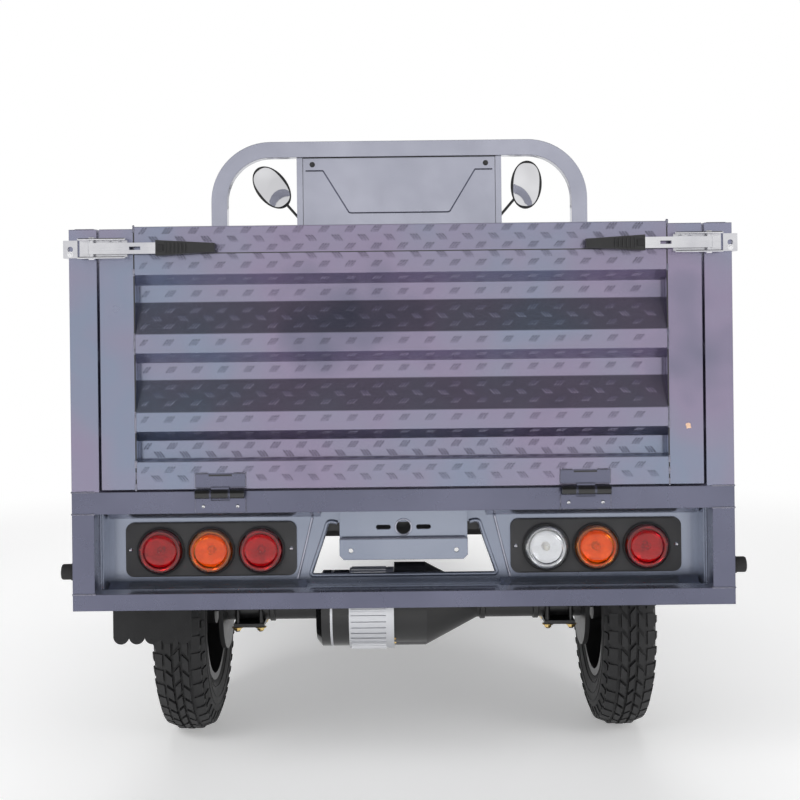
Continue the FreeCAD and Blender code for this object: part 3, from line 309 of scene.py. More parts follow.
def soft_light(name, where, target, size, power):
    """A soft lamp that lights without showing as a patch in glossy paint."""
    data = bpy.data.lights.new(name, "AREA")
    data.shape = "RECTANGLE"
    data.size, data.size_y = size
    data.energy = power
    lamp = bpy.data.objects.new(name, data)
    bpy.context.collection.objects.link(lamp)
    lamp.location = where
    lamp.rotation_euler = (Vector(target) - Vector(where)).to_track_quat("-Z", "Y").to_euler()
    lamp.visible_glossy = False


# Name, place, target, size in metres and power in watts.
LAMPS = [("key", (-2.6, TAIL - 3.2, 3.4), (0, TAIL, 0.7), (2.4, 1.6), 110),
         ("fill", (3.2, TAIL - 2.6, 2.4), (0, TAIL, 0.7), (2.0, 2.0), 60),
         ("top", (0, 0, 4.5), (0, 0, 0.8), (3.5, 4.5), 90),
         ("front", (0.5, 5.5, 3.0), (0, 1.0, 0.7), (3.0, 2.0), 90)]
LENS, SENSOR, SHIFT_UP = 54, 36, -0.1
CAMERA_X, CAMERA_BACK, CAMERA_HEIGHT, CAMERA_ROLL = -0.002, 2.172, 0.91, 0.65


def stage_and_light():
    """The floor, the world and four soft lamps."""
    white_floor()
    studio_world()
    for lamp in LAMPS:
        soft_light(*lamp)


def camera():
    """The photograph's view: level, straight from behind, at the height of the gate."""
    data = bpy.data.cameras.new("camera")
    data.lens = LENS
    data.sensor_width = SENSOR
    data.shift_y = SHIFT_UP
    data.clip_end = 100
    seat = bpy.data.objects.new("camera", data)
    bpy.context.collection.objects.link(seat)
    seat.location = (CAMERA_X, TAIL - CAMERA_BACK, CAMERA_HEIGHT)
    seat.rotation_euler = (math.pi / 2, math.radians(CAMERA_ROLL), 0)
    bpy.context.scene.camera = seat


# ---- building blocks -------------------------------------------------------------------------

def piece(name, mesh, mat, body, smooth=False):
    """A finished object riding on a body."""
    thing = bpy.data.objects.new(name, mesh)
    bpy.context.collection.objects.link(thing)
    mesh.materials.append(mat)
    if smooth:
        mesh.shade_smooth()
    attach(thing, body)
    return thing


def from_lists(name, verts, faces):
    """A mesh from points and faces."""
    mesh = bpy.data.meshes.new(name)
    mesh.from_pydata([tuple(v) for v in verts], [], faces)
    mesh.update()
    return mesh


class Heap:
    """Gathers many small solids into one mesh."""

    def __init__(self):
        self.verts, self.faces = [], []

    def add(self, verts, faces):
        base = len(self.verts)
        self.verts += [Vector(v) for v in verts]
        self.faces += [[base + i for i in face] for face in faces]

    def done(self, name, mat, body, smooth_angle=None):
        mesh = from_lists(name, self.verts, self.faces)
        work = bmesh.new()
        work.from_mesh(mesh)
        bmesh.ops.recalc_face_normals(work, faces=work.faces)
        work.to_mesh(mesh)
        work.free()
        thing = piece(name, mesh, mat, body)
        if smooth_angle:
            mesh.shade_smooth()
            mesh.set_sharp_from_angle(angle=math.radians(smooth_angle))
        return thing


def prism_faces(count):
    """Faces of a prism whose near outline of count points is listed before its far one."""
    return ([list(range(count))[::-1], list(range(count, 2 * count))]
            + [[k, (k + 1) % count, count + (k + 1) % count, count + k] for k in range(count)])


def basis(axis):
    """Two directions square to an axis, and the axis."""
    along = Vector(axis).normalized()
    square = Vector((0, 0, 1)) if abs(along.z) < 0.9 else Vector((1, 0, 0))
    side = along.cross(square).normalized()
    return side, along.cross(side), along


def lathe(heap, centre, axis, profile, steps=32, closed=False):
    """A turned solid: profile is (distance along the axis, radius) from one end to the other."""
    side, up, along = basis(axis)
    centre = Vector(centre)
    verts = []
    for at, radius in profile:
        for k in range(steps):
            turn = 2 * math.pi * k / steps
            out = side * math.cos(turn) + up * math.sin(turn)
            verts.append(centre + along * at + out * radius)
    faces = []
    rings = len(profile)
    for ring in range(rings if closed else rings - 1):
        after = (ring + 1) % rings
        for k in range(steps):
            faces.append([ring * steps + k, ring * steps + (k + 1) % steps,
                          after * steps + (k + 1) % steps, after * steps + k])
    if not closed:
        faces.append(list(range(steps))[::-1])
        faces.append([(rings - 1) * steps + k for k in range(steps)])
    heap.add(verts, faces)


def block(heap, low, high, bevel=0.0):
    """A box between two corners with chamfered edges."""
    low, high = Vector(low), Vector(high)
    work = bmesh.new()
    bmesh.ops.create_cube(work, size=1)
    for v in work.verts:
        v.co = Vector((low[i] + (v.co[i] + 0.5) * (high[i] - low[i]) for i in range(3)))
    if bevel:
        bmesh.ops.bevel(work, geom=work.edges[:], offset=bevel, segments=2, affect="EDGES",
                        profile=0.6)
    work.verts.ensure_lookup_table()
    heap.add([v.co.copy() for v in work.verts], [[v.index for v in f.verts] for f in work.faces])
    work.free()


def bolt(heap, at, axis, radius, height):
    """A hexagon bolt head on its washer, standing off a surface along axis."""
    lathe(heap, at, axis, [(0, radius * 1.45), (height * 0.22, radius * 1.45)], 20)
    lathe(heap, at, axis, [(0, radius), (height * 0.85, radius), (height, radius * 0.8)], 6)


def screw(heap, at, axis, radius):
    """A domed cross-head screw."""
    lathe(heap, at, axis, [(0, radius), (radius * 0.35, radius * 0.92), (radius * 0.6, radius * 0.6),
                           (radius * 0.42, radius * 0.25), (radius * 0.25, radius * 0.1)], 20)


def tube(name, points, radius, mat, body, sides=10, order=3):
    """A round bead or rod on a smooth curve led by a few points."""
    data = bpy.data.curves.new(name, "CURVE")
    data.dimensions = "3D"
    data.bevel_depth = radius
    data.bevel_resolution = max(1, sides // 4)
    data.use_fill_caps = True
    spline = data.splines.new("NURBS")
    spline.points.add(len(points) - 1)
    for spot, at in zip(spline.points, points):
        spot.co = (*at, 1)
    spline.use_endpoint_u = True
    spline.order_u = order
    spline.resolution_u = 8
    holder = bpy.data.objects.new(name + "_path", data)
    mesh = bpy.data.meshes.new_from_object(holder)
    bpy.data.objects.remove(holder)
    return piece(name, mesh, mat, body, True)


# ---- tread plate -----------------------------------------------------------------------------

BAR_LONG, BAR_WIDE, BAR_HIGH, BAR_MARGIN = 0.0175, 0.0034, 0.0011, 0.012
GROUP_PITCH, ROW_PITCH, BAR_STEP, BARS_IN_GROUP = 0.0473, 0.0157, 0.0052, 3


def raised_bar(heap, centre, along, across, normal):
    """One bar of the tread: long, narrow, with a rounded crown and run-out ends."""
    def at(a, b, c):
        return (centre + along * (a * BAR_LONG / 2) + across * (b * BAR_WIDE / 2)
                + normal * (c * BAR_HIGH))

    verts = [at(-1, 0, -0.3), at(-0.6, 1, -0.3), at(0.6, 1, -0.3), at(1, 0, -0.3),
             at(0.6, -1, -0.3), at(-0.6, -1, -0.3),
             at(-0.5, 0.45, 0.8), at(0.5, 0.45, 0.8), at(0.5, -0.45, 0.8), at(-0.5, -0.45, 0.8),
             at(-0.8, 0, 0.4), at(0.8, 0, 0.4)]
    faces = [[1, 2, 7, 6], [5, 9, 8, 4], [6, 7, 8, 9], [0, 1, 6, 10], [0, 10, 9, 5],
             [3, 11, 7, 2], [3, 4, 8, 11], [10, 6, 9], [11, 8, 7], [0, 5, 4, 3, 2, 1]]
    heap.add(verts, faces)


def tread_plate(name, body, mat, origin, run, width, profile, outward):
    """Groups of bars over a folded sheet, leaning the other way in each row. profile is the
    sheet's section, and run the way it's extruded."""
    heap = Heap()
    run = Vector(run)
    spots = [Vector(origin) + Vector(p) for p in profile]
    lengths = [(b - a).length for a, b in zip(spots, spots[1:])]
    total = sum(lengths)
    rows = int(total / ROW_PITCH)
    edge = BAR_LONG * 0.42
    for row in range(rows):
        at = (row + 0.5) * ROW_PITCH
        side, passed = 0, 0.0
        while at > passed + lengths[side]:
            passed += lengths[side]
            side += 1
        if at - passed < edge or passed + lengths[side] - at < edge:
            continue
        tangent = (spots[side + 1] - spots[side]).normalized()
        normal = run.cross(tangent).normalized()
        if normal.dot(Vector(outward)) < 0:
            normal = -normal
        lean = 1 if row % 2 else -1
        along = (run * 0.62 * lean + tangent * 0.78).normalized()
        across = normal.cross(along)
        shift = 0.5 if row % 2 else 0.0
        for group in range(int(width / GROUP_PITCH + 1)):
            for bar in range(BARS_IN_GROUP):
                u = (group + shift + 0.3) * GROUP_PITCH + (bar - 1) * BAR_STEP
                if not BAR_MARGIN < u < width - BAR_MARGIN:
                    continue
                centre = spots[side] + tangent * (at - passed) + run * u
                raised_bar(heap, centre, along, across, normal)
    return heap.done(name, mat, body)


# The pressed wall from its top: a flat strip, then in each bay a step in, valley, slope and ridge.
TOP_STRIP, STEP, VALLEY, SLOPE, RIDGE, DEEP = 0.087, 0.019, 0.031, 0.058, 0.034, 0.025
GATE_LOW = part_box("tailgate_panel")[0][2]
WALL_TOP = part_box("tailgate_panel")[1][2]
BOTTOM_STRIP = 0.05


def rib_section(inward):
    """The pressed sheet's outer face from top to bottom, as offsets from its outer plane."""
    z = WALL_TOP
    section = [(0, z)]
    z -= TOP_STRIP
    section.append((0, z))
    for _ in range(2):
        z -= STEP
        section.append((DEEP, z))
        z -= VALLEY
        section.append((DEEP, z))
        z -= SLOPE
        section.append((0, z))
        z -= RIDGE
        section.append((0, z))
    section += [(DEEP, z - STEP), (DEEP, GATE_LOW + BOTTOM_STRIP + 0.003),
                (0, GATE_LOW + BOTTOM_STRIP), (0, GATE_LOW)]
    return [Vector(inward) * depth + Vector((0, 0, rise)) for depth, rise in section]


def floor_tread(name, node, start, inset):
    """Tread over a level plate, from start ahead of its rear edge, inset from its others."""
    low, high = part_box(node)
    tread_plate(name, "chassis", DECK_PAINT, (low[0] + inset, low[1] + start, high[2]), (1, 0, 0),
                high[0] - low[0] - 2 * inset,
                [(0, 0, 0), (0, high[1] - low[1] - start - inset, 0)], (0, 0, 1))


def pressed_walls():
    """Tread on the gate, both side walls, the foot floor and the deck."""
    low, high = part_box("tailgate_panel")
    tread_plate("tailgate_tread", "tailgate", BODY_PAINT, (low[0], TAIL, 0), (1, 0, 0),
                high[0] - low[0], rib_section((0, 1, 0)), REAR)
    for side in SIDES:
        name = SIDE_NAME[side]
        low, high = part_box(f"side_wall_{name}")
        plane = high[0] if side > 0 else low[0]
        tread_plate(f"side_tread_{name}", "chassis", BODY_PAINT, (plane, low[1] + FRAME_TUBE, 0),
                    (0, 1, 0), high[1] - low[1] - 2 * FRAME_TUBE, rib_section((-side, 0, 0)),
                    (side, 0, 0))
    floor_tread("foot_tread", "foot_floor", 0.42, 0.01)
    floor_tread("deck_tread", "bed_floor", 0.01, 0.01)


# ---- lamps -----------------------------------------------------------------------------------

def lens_material(name, colour, deep):
    """Clear or tinted lens plastic."""
    mat = material(name, colour, 0.06, 0.0, 0.4, Transmission_Weight=0.96, IOR=1.45)
    mottle(mat, 40, 2, [(0.3, deep), (0.7, colour)])
    return mat


RED_LENS = lens_material("red_lens", (0.72, 0.006, 0.02), (0.5, 0.003, 0.012))
AMBER_LENS = lens_material("amber_lens", (1.0, 0.3, 0.006), (0.8, 0.19, 0.003))
CLEAR_LENS = lens_material("clear_lens", (0.95, 0.96, 0.97), (0.9, 0.91, 0.92))
BULB = material("bulb_glass", (0.95, 0.93, 0.88), 0.1, 0.0, 0.3)
mottle(BULB, 80, 2, [(0.4, (0.95, 0.9, 0.8)), (0.6, (0.98, 0.97, 0.94))])
LENS_R, DOME_R, DOME_FOOT, DOME_RISE, LENS_THICK = 0.041, 0.0305, 0.015, 0.005, 0.0022
LENS_PITCH, PLATE_HALF, LAMP_SCREW_X = 0.094, 0.16, 0.1505


def lens_section():
    """A lens as a thin shell: its outside from the plate to the dome's tip, and back inside."""
    outer = [(0, LENS_R), (0.009, LENS_R), (0.0125, LENS_R - 0.003), (0.0125, LENS_R - 0.009),
             (DOME_FOOT, DOME_R)]
    outer += [(DOME_FOOT + DOME_RISE * math.cos(a), DOME_R * math.sin(a))
              for a in [math.pi / 2 * (1 - i / 8) for i in range(1, 8)]]
    outer += [(DOME_FOOT + DOME_RISE, 0.0006)]
    return outer + [(max(a - LENS_THICK, 0.0005), max(r - LENS_THICK, 0.0004))
                    for a, r in reversed(outer)]


def tail_lamps():
    """Round lenses with a stepped rim, a dome, a reflector and a bulb behind."""
    low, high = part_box("tail_lamp_plates")
    face, plate_x = low[1], high[0] - PLATE_HALF
    lens_low, lens_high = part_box("tail_lamp_lenses")
    z = (lens_low[2] + lens_high[2]) / 2
    order = {-1: (RED_LENS, AMBER_LENS, RED_LENS), 1: (CLEAR_LENS, AMBER_LENS, RED_LENS)}
    reflectors, bulbs, rims, screws = Heap(), Heap(), Heap(), Heap()
    stand_in = None
    for side in SIDES:
        for k, mat in enumerate(order[side]):
            at = Vector((side * plate_x + (k - 1) * LENS_PITCH, face, z))
            heap = Heap()
            lathe(heap, at, REAR, lens_section(), 48, closed=True)
            lens = heap.done(f"lens_{SIDE_NAME[side]}_{k}", mat, "chassis", 40)
            stand_in = stand_in or lens
            lathe(reflectors, at, REAR, [(0.0008, 0.0365), (0.011, 0.036), (0.0085, 0.030),
                                         (0.0045, 0.02), (0.002, 0.008)], 40)
            lathe(bulbs, at, REAR, [(0.002, 0.006), (0.009, 0.0068), (0.0125, 0.005),
                                    (0.0138, 0.0015)], 20)
            lathe(rims, at, REAR, [(0, LENS_R + 0.0035), (0.003, LENS_R + 0.0035),
                                   (0.0045, LENS_R + 0.0018), (0.0045, LENS_R + 0.0004),
                                   (0, LENS_R + 0.0004)], 48)
        for end in SIDES:
            screw(screws, (side * plate_x + end * LAMP_SCREW_X, face, z + 0.002), REAR, 0.0042)
    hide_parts("tail_lamp_lenses")
    reflectors.done("lamp_reflectors", CHROME, "chassis", 40)
    bulbs.done("lamp_bulbs", BULB, "chassis", 40)
    rims.done("lamp_gaskets", BLACK_PLASTIC, "chassis", 40)
    screws.done("lamp_screws", CHROME, "chassis", 40)


# ---- wheels ----------------------------------------------------------------------------------

CROWN = TYRE_R - 0.0065
# Half of the carcass: distance from the middle plane, and radius.
CARCASS = [(-TYRE_HALF_BEAD, RIM_R + 0.0005), (-TYRE_HALF_BEAD, 0.1665), (-0.047, 0.172),
           (-0.0525, 0.188), (-0.0548, 0.208), (-0.0535, 0.226), (-0.0495, 0.241),
           (-0.044, CROWN - 0.008), (-0.034, CROWN - 0.003), (-0.018, CROWN - 0.0005), (0, CROWN)]
TREAD_BLOCKS = 44
# Tread rows: middle, half width, skew in pitches, and drop below the crown.
TREAD_ROWS = [(-0.0385, 0.0095, 0.0, 0.0058), (-0.0175, 0.0072, 0.35, 0.0008),
              (0.0, 0.0066, -0.35, 0.0), (0.0175, 0.0072, 0.35, 0.0008),
              (0.0385, 0.0095, 0.0, 0.0058)]
SHOULDER_LUG = [(0.0463, 0.243), (0.0498, 0.247), (0.0532, 0.229), (0.0556, 0.231)]
WALL_RIBS = [(0.178, 0.0497), (0.2, 0.0541), (0.217, 0.0545)]  # radius, distance out


def tyre(name, node, body):
    """A block-tread tyre: a smooth carcass, zigzag ribs across the crown and shoulder lugs."""
    low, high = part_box(node)
    centre = (Vector(low) + Vector(high)) / 2
    heap = Heap()
    lathe(heap, centre, (1, 0, 0), CARCASS + [(-a, r) for a, r in reversed(CARCASS[:-1])], 96,
          closed=True)
    side, up, along = basis((1, 0, 0))

    def spot(a, r, turn):
        return centre + along * a + (side * math.cos(turn) + up * math.sin(turn)) * r

    pitch = 2 * math.pi / TREAD_BLOCKS
    for k in range(TREAD_BLOCKS):
        start = pitch * k
        for middle, half, skew, drop in TREAD_ROWS:
            outer = 1 if middle > 0 else -1
            turn0, turn1, lean = start + pitch * 0.1, start + pitch * 0.84, skew * pitch
            fall = 0.006 if abs(middle) > 0.03 else 0.0
            ring = []
            for r, shrink in ((CROWN - drop - 0.004, 0.0), (TYRE_R - drop, 0.0011)):
                near, far = middle - half + shrink, middle + half - shrink
                for a, turn in ((near, turn0), (far, turn0 + lean), (far, turn1 + lean),
                                (near, turn1)):
                    outside = (a - middle) * outer > 0
                    ring.append(spot(a, r - (fall if outside else 0), turn))
            heap.add(ring, prism_faces(4))
        for outer in SIDES:
            ring = [spot(outer * a, r, turn) for a, r in SHOULDER_LUG
                    for turn in (start + pitch * 0.3, start + pitch * 0.7)]
            heap.add(ring, [[0, 1, 3, 2], [2, 3, 7, 6], [4, 6, 7, 5], [0, 4, 5, 1], [0, 2, 6, 4],
                            [1, 5, 7, 3]])
    for radius, at in WALL_RIBS:
        for outer in SIDES:
            lathe(heap, centre, (outer, 0, 0),
                  [(at - 0.002, radius - 0.0016), (at + 0.0009, radius - 0.0008),
                   (at + 0.0009, radius + 0.0008), (at - 0.002, radius + 0.0016)], 96, closed=True)
    thing = heap.done(name, TYRE_RUBBER, body, 32)
    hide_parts(node)


WHEEL_NUTS, NUT_CIRCLE, NUT_FIRST, HUB_CAP_OUT = 5, 0.064, 0.3, 0.045


def wheels():
    """Tyres, and wheel nuts and a hub cap on each wheel's outer side, or both sides in front."""
    for node, sides in (("front", SIDES), ("rear_left", (-1,)), ("rear_right", (1,))):
        body = f"{node}_wheel"
        tyre(f"{node}_tyre_tread", f"{node}_tyre", body)
        low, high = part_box(f"{node}_rim")
        centre = (Vector(low) + Vector(high)) / 2
        nuts, caps = Heap(), Heap()
        for side in sides:
            for k in range(WHEEL_NUTS):
                turn = 2 * math.pi * k / WHEEL_NUTS + NUT_FIRST
                at = Vector((side * 0.004, NUT_CIRCLE * math.cos(turn),
                             NUT_CIRCLE * math.sin(turn)))
                bolt(nuts, centre + at, (side, 0, 0), 0.0085, 0.011)
            lathe(caps, centre + Vector((side * HUB_CAP_OUT, 0, 0)), (side, 0, 0),
                  [(0, 0.03), (0.006, 0.03), (0.012, 0.024), (0.014, 0.012)], 32)
        nuts.done(f"{node}_wheel_nuts", CHROME, body)
        caps.done(f"{node}_hub_cap", BLACK_PLASTIC, body, 40)


# ---- gate, hinges and latches ----------------------------------------------------------------

random.seed(11)
WELD_R, FRAME_WELD_R, LEAF_WELD_R = 0.0022, 0.0019, 0.0017
SUNK = 0.001                                   # how deep a thin strip lies in its sheet


def weld(heap, start, end, normal, size=WELD_R):
    """A run of overlapping weld scales between two points."""
    start, end = Vector(start), Vector(end)
    count = max(2, int((end - start).length / (size * 1.3)))
    for k in range(count + 1):
        at = start.lerp(end, k / count)
        radius = size * random.uniform(0.75, 1.3)
        lathe(heap, at, normal, [(-radius * 0.3, radius), (radius * 0.35, radius * 0.85),
                                 (radius * 0.6, radius * 0.4)], 8)


def gate_details():
    """Weld beads where the pressed panel meets the stiles, the fold line and a paint chip."""
    low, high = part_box("tailgate_panel")
    beads, lines = Heap(), Heap()
    flats = [spot.z for spot in rib_section((0, 1, 0)) if spot.y == 0]
    bead_half, from_edge = 0.005, 0.004
    for x in (low[0], high[0]):
        for top, foot in zip(flats[::2], flats[1::2]):
            for z in (top - from_edge, (top + foot) / 2, foot + from_edge):
                weld(beads, (x, TAIL, z + bead_half), (x, TAIL, z - bead_half), REAR)
    beads.done("gate_weld_beads", WELD, "tailgate", 50)
    fold, fold_half, seam_half, seam_in = WALL_TOP - 0.049, 0.0009, 0.0011, 0.0004
    block(lines, (low[0], TAIL - 0.0006, fold - fold_half),
          (high[0], TAIL + SUNK, fold + fold_half))
    for x in (low[0] + seam_in, high[0] - seam_in):
        block(lines, (x - seam_half, TAIL - 0.0005, low[2]),
              (x + seam_half, TAIL + SUNK, high[2] - from_edge))
    lines.done("gate_seams", BLACK_PAINT, "tailgate")
    paint_chip()


CHIP_SPOT, CHIP_R, CHIP_CORNERS = (0.518, 0.713), 0.006, 9


def paint_chip():
    """A ragged flake of paint gone from the right stile."""
    chip = Heap()
    x, z = CHIP_SPOT
    at = Vector((x, TAIL - 0.0005, z))
    ring = []
    for k in range(CHIP_CORNERS):
        turn = 2 * math.pi * k / CHIP_CORNERS
        ring.append(at + Vector((CHIP_R * math.cos(turn) * random.uniform(0.6, 1.2), 0,
                                 CHIP_R * math.sin(turn) * random.uniform(0.6, 1.2))))
    chip.add(ring + [v + Vector((0, 0.0004, 0)) for v in ring], prism_faces(CHIP_CORNERS))
    chip.done("paint_chip", CHIP, "tailgate")


def frame_welds():
    """Beads at the ring's corners and where the posts stand on it."""
    beads = Heap()
    low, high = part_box("bed_frame")
    return_y, rail = 0.24, 0.03
    joints = (high[2] - FRAME_TUBE, low[2] + rail)
    for side in SIDES:
        outer, inner = side * high[0], side * (high[0] - FRAME_TUBE)
        for z in (*joints, high[2]):
            weld(beads, (inner, low[1], z), (outer, low[1], z), REAR, FRAME_WELD_R)
        for z in joints:
            weld(beads, (outer, low[1] + return_y - FRAME_TUBE, z), (outer, low[1] + return_y, z),
                 (side, 0, 0), FRAME_WELD_R)
    beads.done("frame_weld_beads", WELD, "chassis", 50)


LEAF_HALF, KNUCKLE_GAP, KNUCKLE_HALF = 0.045, 0.018, 0.0158
SLEEVE_R, SLEEVE_END_R, SLEEVE_CHAMFER = 0.0083, 0.0072, 0.0008
HINGE_PIN = (TAIL - 0.010, 0.6)                # y and z of both hinges' axis


def hinge_details():
    """Glossy sleeves on the knuckles, rivets and the beads that hold the leaves."""
    face = TAIL - 0.001
    for node, body, lower in (("hinge_lower_leaves", "chassis", True),
                              ("hinge_upper_leaves", "tailgate", False)):
        low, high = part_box(node)
        spans = [(-LEAF_HALF, -KNUCKLE_GAP), (KNUCKLE_GAP, LEAF_HALF)] if lower else \
            [(-KNUCKLE_HALF, KNUCKLE_HALF)]
        z0, z1 = (low[2], low[2] + 0.022) if lower else (high[2] - 0.024, high[2])
        edge = z0 if lower else z1
        sleeves, heads, beads = Heap(), Heap(), Heap()
        for side in SIDES:
            centre = side * (high[0] - LEAF_HALF)
            for start, stop in spans:
                length = stop - start
                lathe(sleeves, (centre + start, *HINGE_PIN), (1, 0, 0),
                      [(0, SLEEVE_END_R), (SLEEVE_CHAMFER, SLEEVE_R),
                       (length - SLEEVE_CHAMFER, SLEEVE_R), (length, SLEEVE_END_R)], 28)
            for end in SIDES:
                x = centre + end * LEAF_HALF
                weld(beads, (x, face, z0), (x, face, z1), REAR, LEAF_WELD_R)
                if lower:
                    screw(heads, (centre + end * 0.031, TAIL - 0.004, (z0 + z1) / 2), REAR, 0.0036)
            for start, stop in ((-0.04, -0.024), (0.024, 0.04)):
                weld(beads, (centre + start, face, edge), (centre + stop, face, edge),
                     REAR, LEAF_WELD_R)
            if not lower:
                block(heads, (centre - 0.021, TAIL - 0.0046, z1 - 0.0045),
                      (centre + 0.021, TAIL - 0.0038, z1 - 0.0015), 0.0003)
        sleeves.done(f"{node}_sleeves", GLOSS_BLACK, body, 40)
        beads.done(f"{node}_beads", WELD, body, 50)
        heads.done(f"{node}_fixings", CHROME if lower else BLACK_PAINT, body, 40)


LATCH_PIN_X, LATCH_RIVETS_X, KEEPER_BOLT_X = 0.554, (0.505, 0.522), 0.596
CHANNEL_X, CHANNEL_HALF = 0.535, 0.042
GRIP_RIBS, GRIP_FIRST_RIB, GRIP_RIB_PITCH, GRIP_BUTTON_X = 6, 0.385, 0.007, 0.43


def latch_details():
    """Pin heads, rivets and rolled edges on the latch channels; ribs and a button on the grips."""
    low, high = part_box("latch_bases")
    z0, z1 = low[2], high[2]
    z = (z0 + z1) / 2
    fixings, edges = Heap(), Heap()
    for side in SIDES:
        for end, way in ((z1, 1), (z0, -1)):
            lathe(fixings, (side * LATCH_PIN_X, TAIL - 0.017, end), (0, 0, way),
                  [(0, 0.0062), (0.0018, 0.006), (0.003, 0.0035)], 24)
        for x in LATCH_RIVETS_X:
            lathe(fixings, (side * x, TAIL - 0.009, z + 0.009), REAR,
                  [(0, 0.0048), (0.0015, 0.0044), (0.0024, 0.002)], 20)
        for edge in (z0 + 0.0015, z1 - 0.0015):
            lathe(edges, (side * CHANNEL_X - CHANNEL_HALF, TAIL - 0.026, edge), (1, 0, 0),
                  [(0, 0.0012), (0.001, 0.002), (2 * CHANNEL_HALF - 0.001, 0.002),
                   (2 * CHANNEL_HALF, 0.0012)], 12)
        bolt(fixings, (side * KEEPER_BOLT_X, TAIL - 0.005, z - 0.009), REAR, 0.0036, 0.004)
    fixings.done("latch_fixings", CHROME, "tailgate", 40)
    edges.done("latch_channel_edges", ZINC, "tailgate", 40)
    for side in SIDES:
        name = SIDE_NAME[side]
        low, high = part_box(f"latch_grip_{name}")
        ribs, button = Heap(), Heap()
        for k in range(GRIP_RIBS):
            x = side * (GRIP_FIRST_RIB + k * GRIP_RIB_PITCH)
            half = 0.0095 - abs(k - GRIP_RIBS + 1) * 0.0005
            block(ribs, (x - 0.0013, low[1] - 0.0008, z - half),
                  (x + 0.0013, low[1] + 0.003, z + half), 0.0005)
        ribs.done(f"grip_ribs_{name}", BLACK_PLASTIC, f"{name}_latch")
        x, half = side * GRIP_BUTTON_X, 0.006
        block(button, (x - half, low[1] - 0.0018, z - half), (x + half, low[1] + 0.002, z + half),
              0.0012)
        button.done(f"grip_button_{name}", RUBBER, f"{name}_latch")


# ---- tail panel ------------------------------------------------------------------------------

SHEET = 0.003
MOUTH_TOP, MOUTH_LOW, MOUTH_CORNER = 0.530, 0.432, 0.012
MOUTH_TOP_HALF, MOUTH_LOW_HALF = 0.143, 0.175
PLATE_HOLE_Z, PLATE_FOLD_Z = 0.528, 0.5085


def extrude_x(heap, x0, x1, section):
    """A closed (y, z) section run from x0 to x1."""
    heap.add([(x, y, z) for x in (x0, x1) for y, z in section], prism_faces(len(section)))


def tail_pans():
    """The pressed pans either side of the mouth: sloping top bands, lower lips and end returns. The
    top bands are painted lighter than the pans, a painted highlight.
    """
    low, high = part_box("tail_panel")
    back, face = low[1], high[1] - SHEET
    top, foot, half = high[2] - SHEET, low[2] + SHEET, high[0] - SHEET
    pan_end, lip = half - 0.006, 0.0145
    bands, lips = Heap(), Heap()
    for side in SIDES:
        extrude_x(bands, *sorted((side * (MOUTH_TOP_HALF + 0.012), side * pan_end)),
                  [(back + 0.006, top), (face, top - 0.019), (face, top - 0.016),
                   (back + 0.012, top)])
        extrude_x(lips, *sorted((side * (MOUTH_LOW_HALF + 0.006), side * pan_end)),
                  [(back + 0.014, foot), (face, foot + 0.013), (face, foot)])
        extrude_x(lips, *sorted((side * half, side * (half - SHEET))),
                  [(back + 0.004, foot), (face, foot), (face, top), (back + 0.004, top)])
    # The top bands take the hoop's lighter paint as a painted highlight, the bright band that light
    # draws on an up-facing lip.
    bands.done("pan_top_bands", HOOP_PAINT_AND_PAINTED_HIGHLIGHT, "chassis")
    extrude_x(lips, -half, half, [(back + 0.0005, foot), (back + lip, foot),
                                  (back + lip, foot + 0.0016), (back + 0.0005, foot + 0.0016)])
    lips.done("pan_lower_lips", TRAY_PAINT, "chassis")
    mouth_edges(face, top, foot)


def mouth_edges(face, top, foot):
    """The mouth's rolled edge, and the diagonal fold that ends each pan beside it, painted lighter
    than the pan as a painted highlight.
    """
    for side in SIDES:
        edge = [(0, MOUTH_LOW), (MOUTH_LOW_HALF - MOUTH_CORNER, MOUTH_LOW),
                (MOUTH_LOW_HALF, MOUTH_LOW), (MOUTH_LOW_HALF - 0.003, MOUTH_LOW + MOUTH_CORNER),
                (MOUTH_TOP_HALF + 0.003, MOUTH_TOP - MOUTH_CORNER),
                (MOUTH_TOP_HALF, MOUTH_TOP + 0.002),
                (MOUTH_TOP_HALF - MOUTH_CORNER, MOUTH_TOP + 0.003), (0.124, MOUTH_TOP)]
        tube(f"mouth_edge_{SIDE_NAME[side]}", [(side * x, face - 0.001, z) for x, z in edge],
             0.0042, TRAY_PAINT, "chassis", 12)
        # The fold takes the lighter paint: a painted highlight along the fold.
        fold = [(MOUTH_LOW_HALF + 0.024, foot + 0.014), (MOUTH_TOP_HALF + 0.028, top - 0.02)]
        tube(f"pan_fold_{SIDE_NAME[side]}", [(side * x, face - 0.0005, z) for x, z in fold], 0.0026,
             HOOP_PAINT_AND_PAINTED_HIGHLIGHT, "chassis", 8, 2)


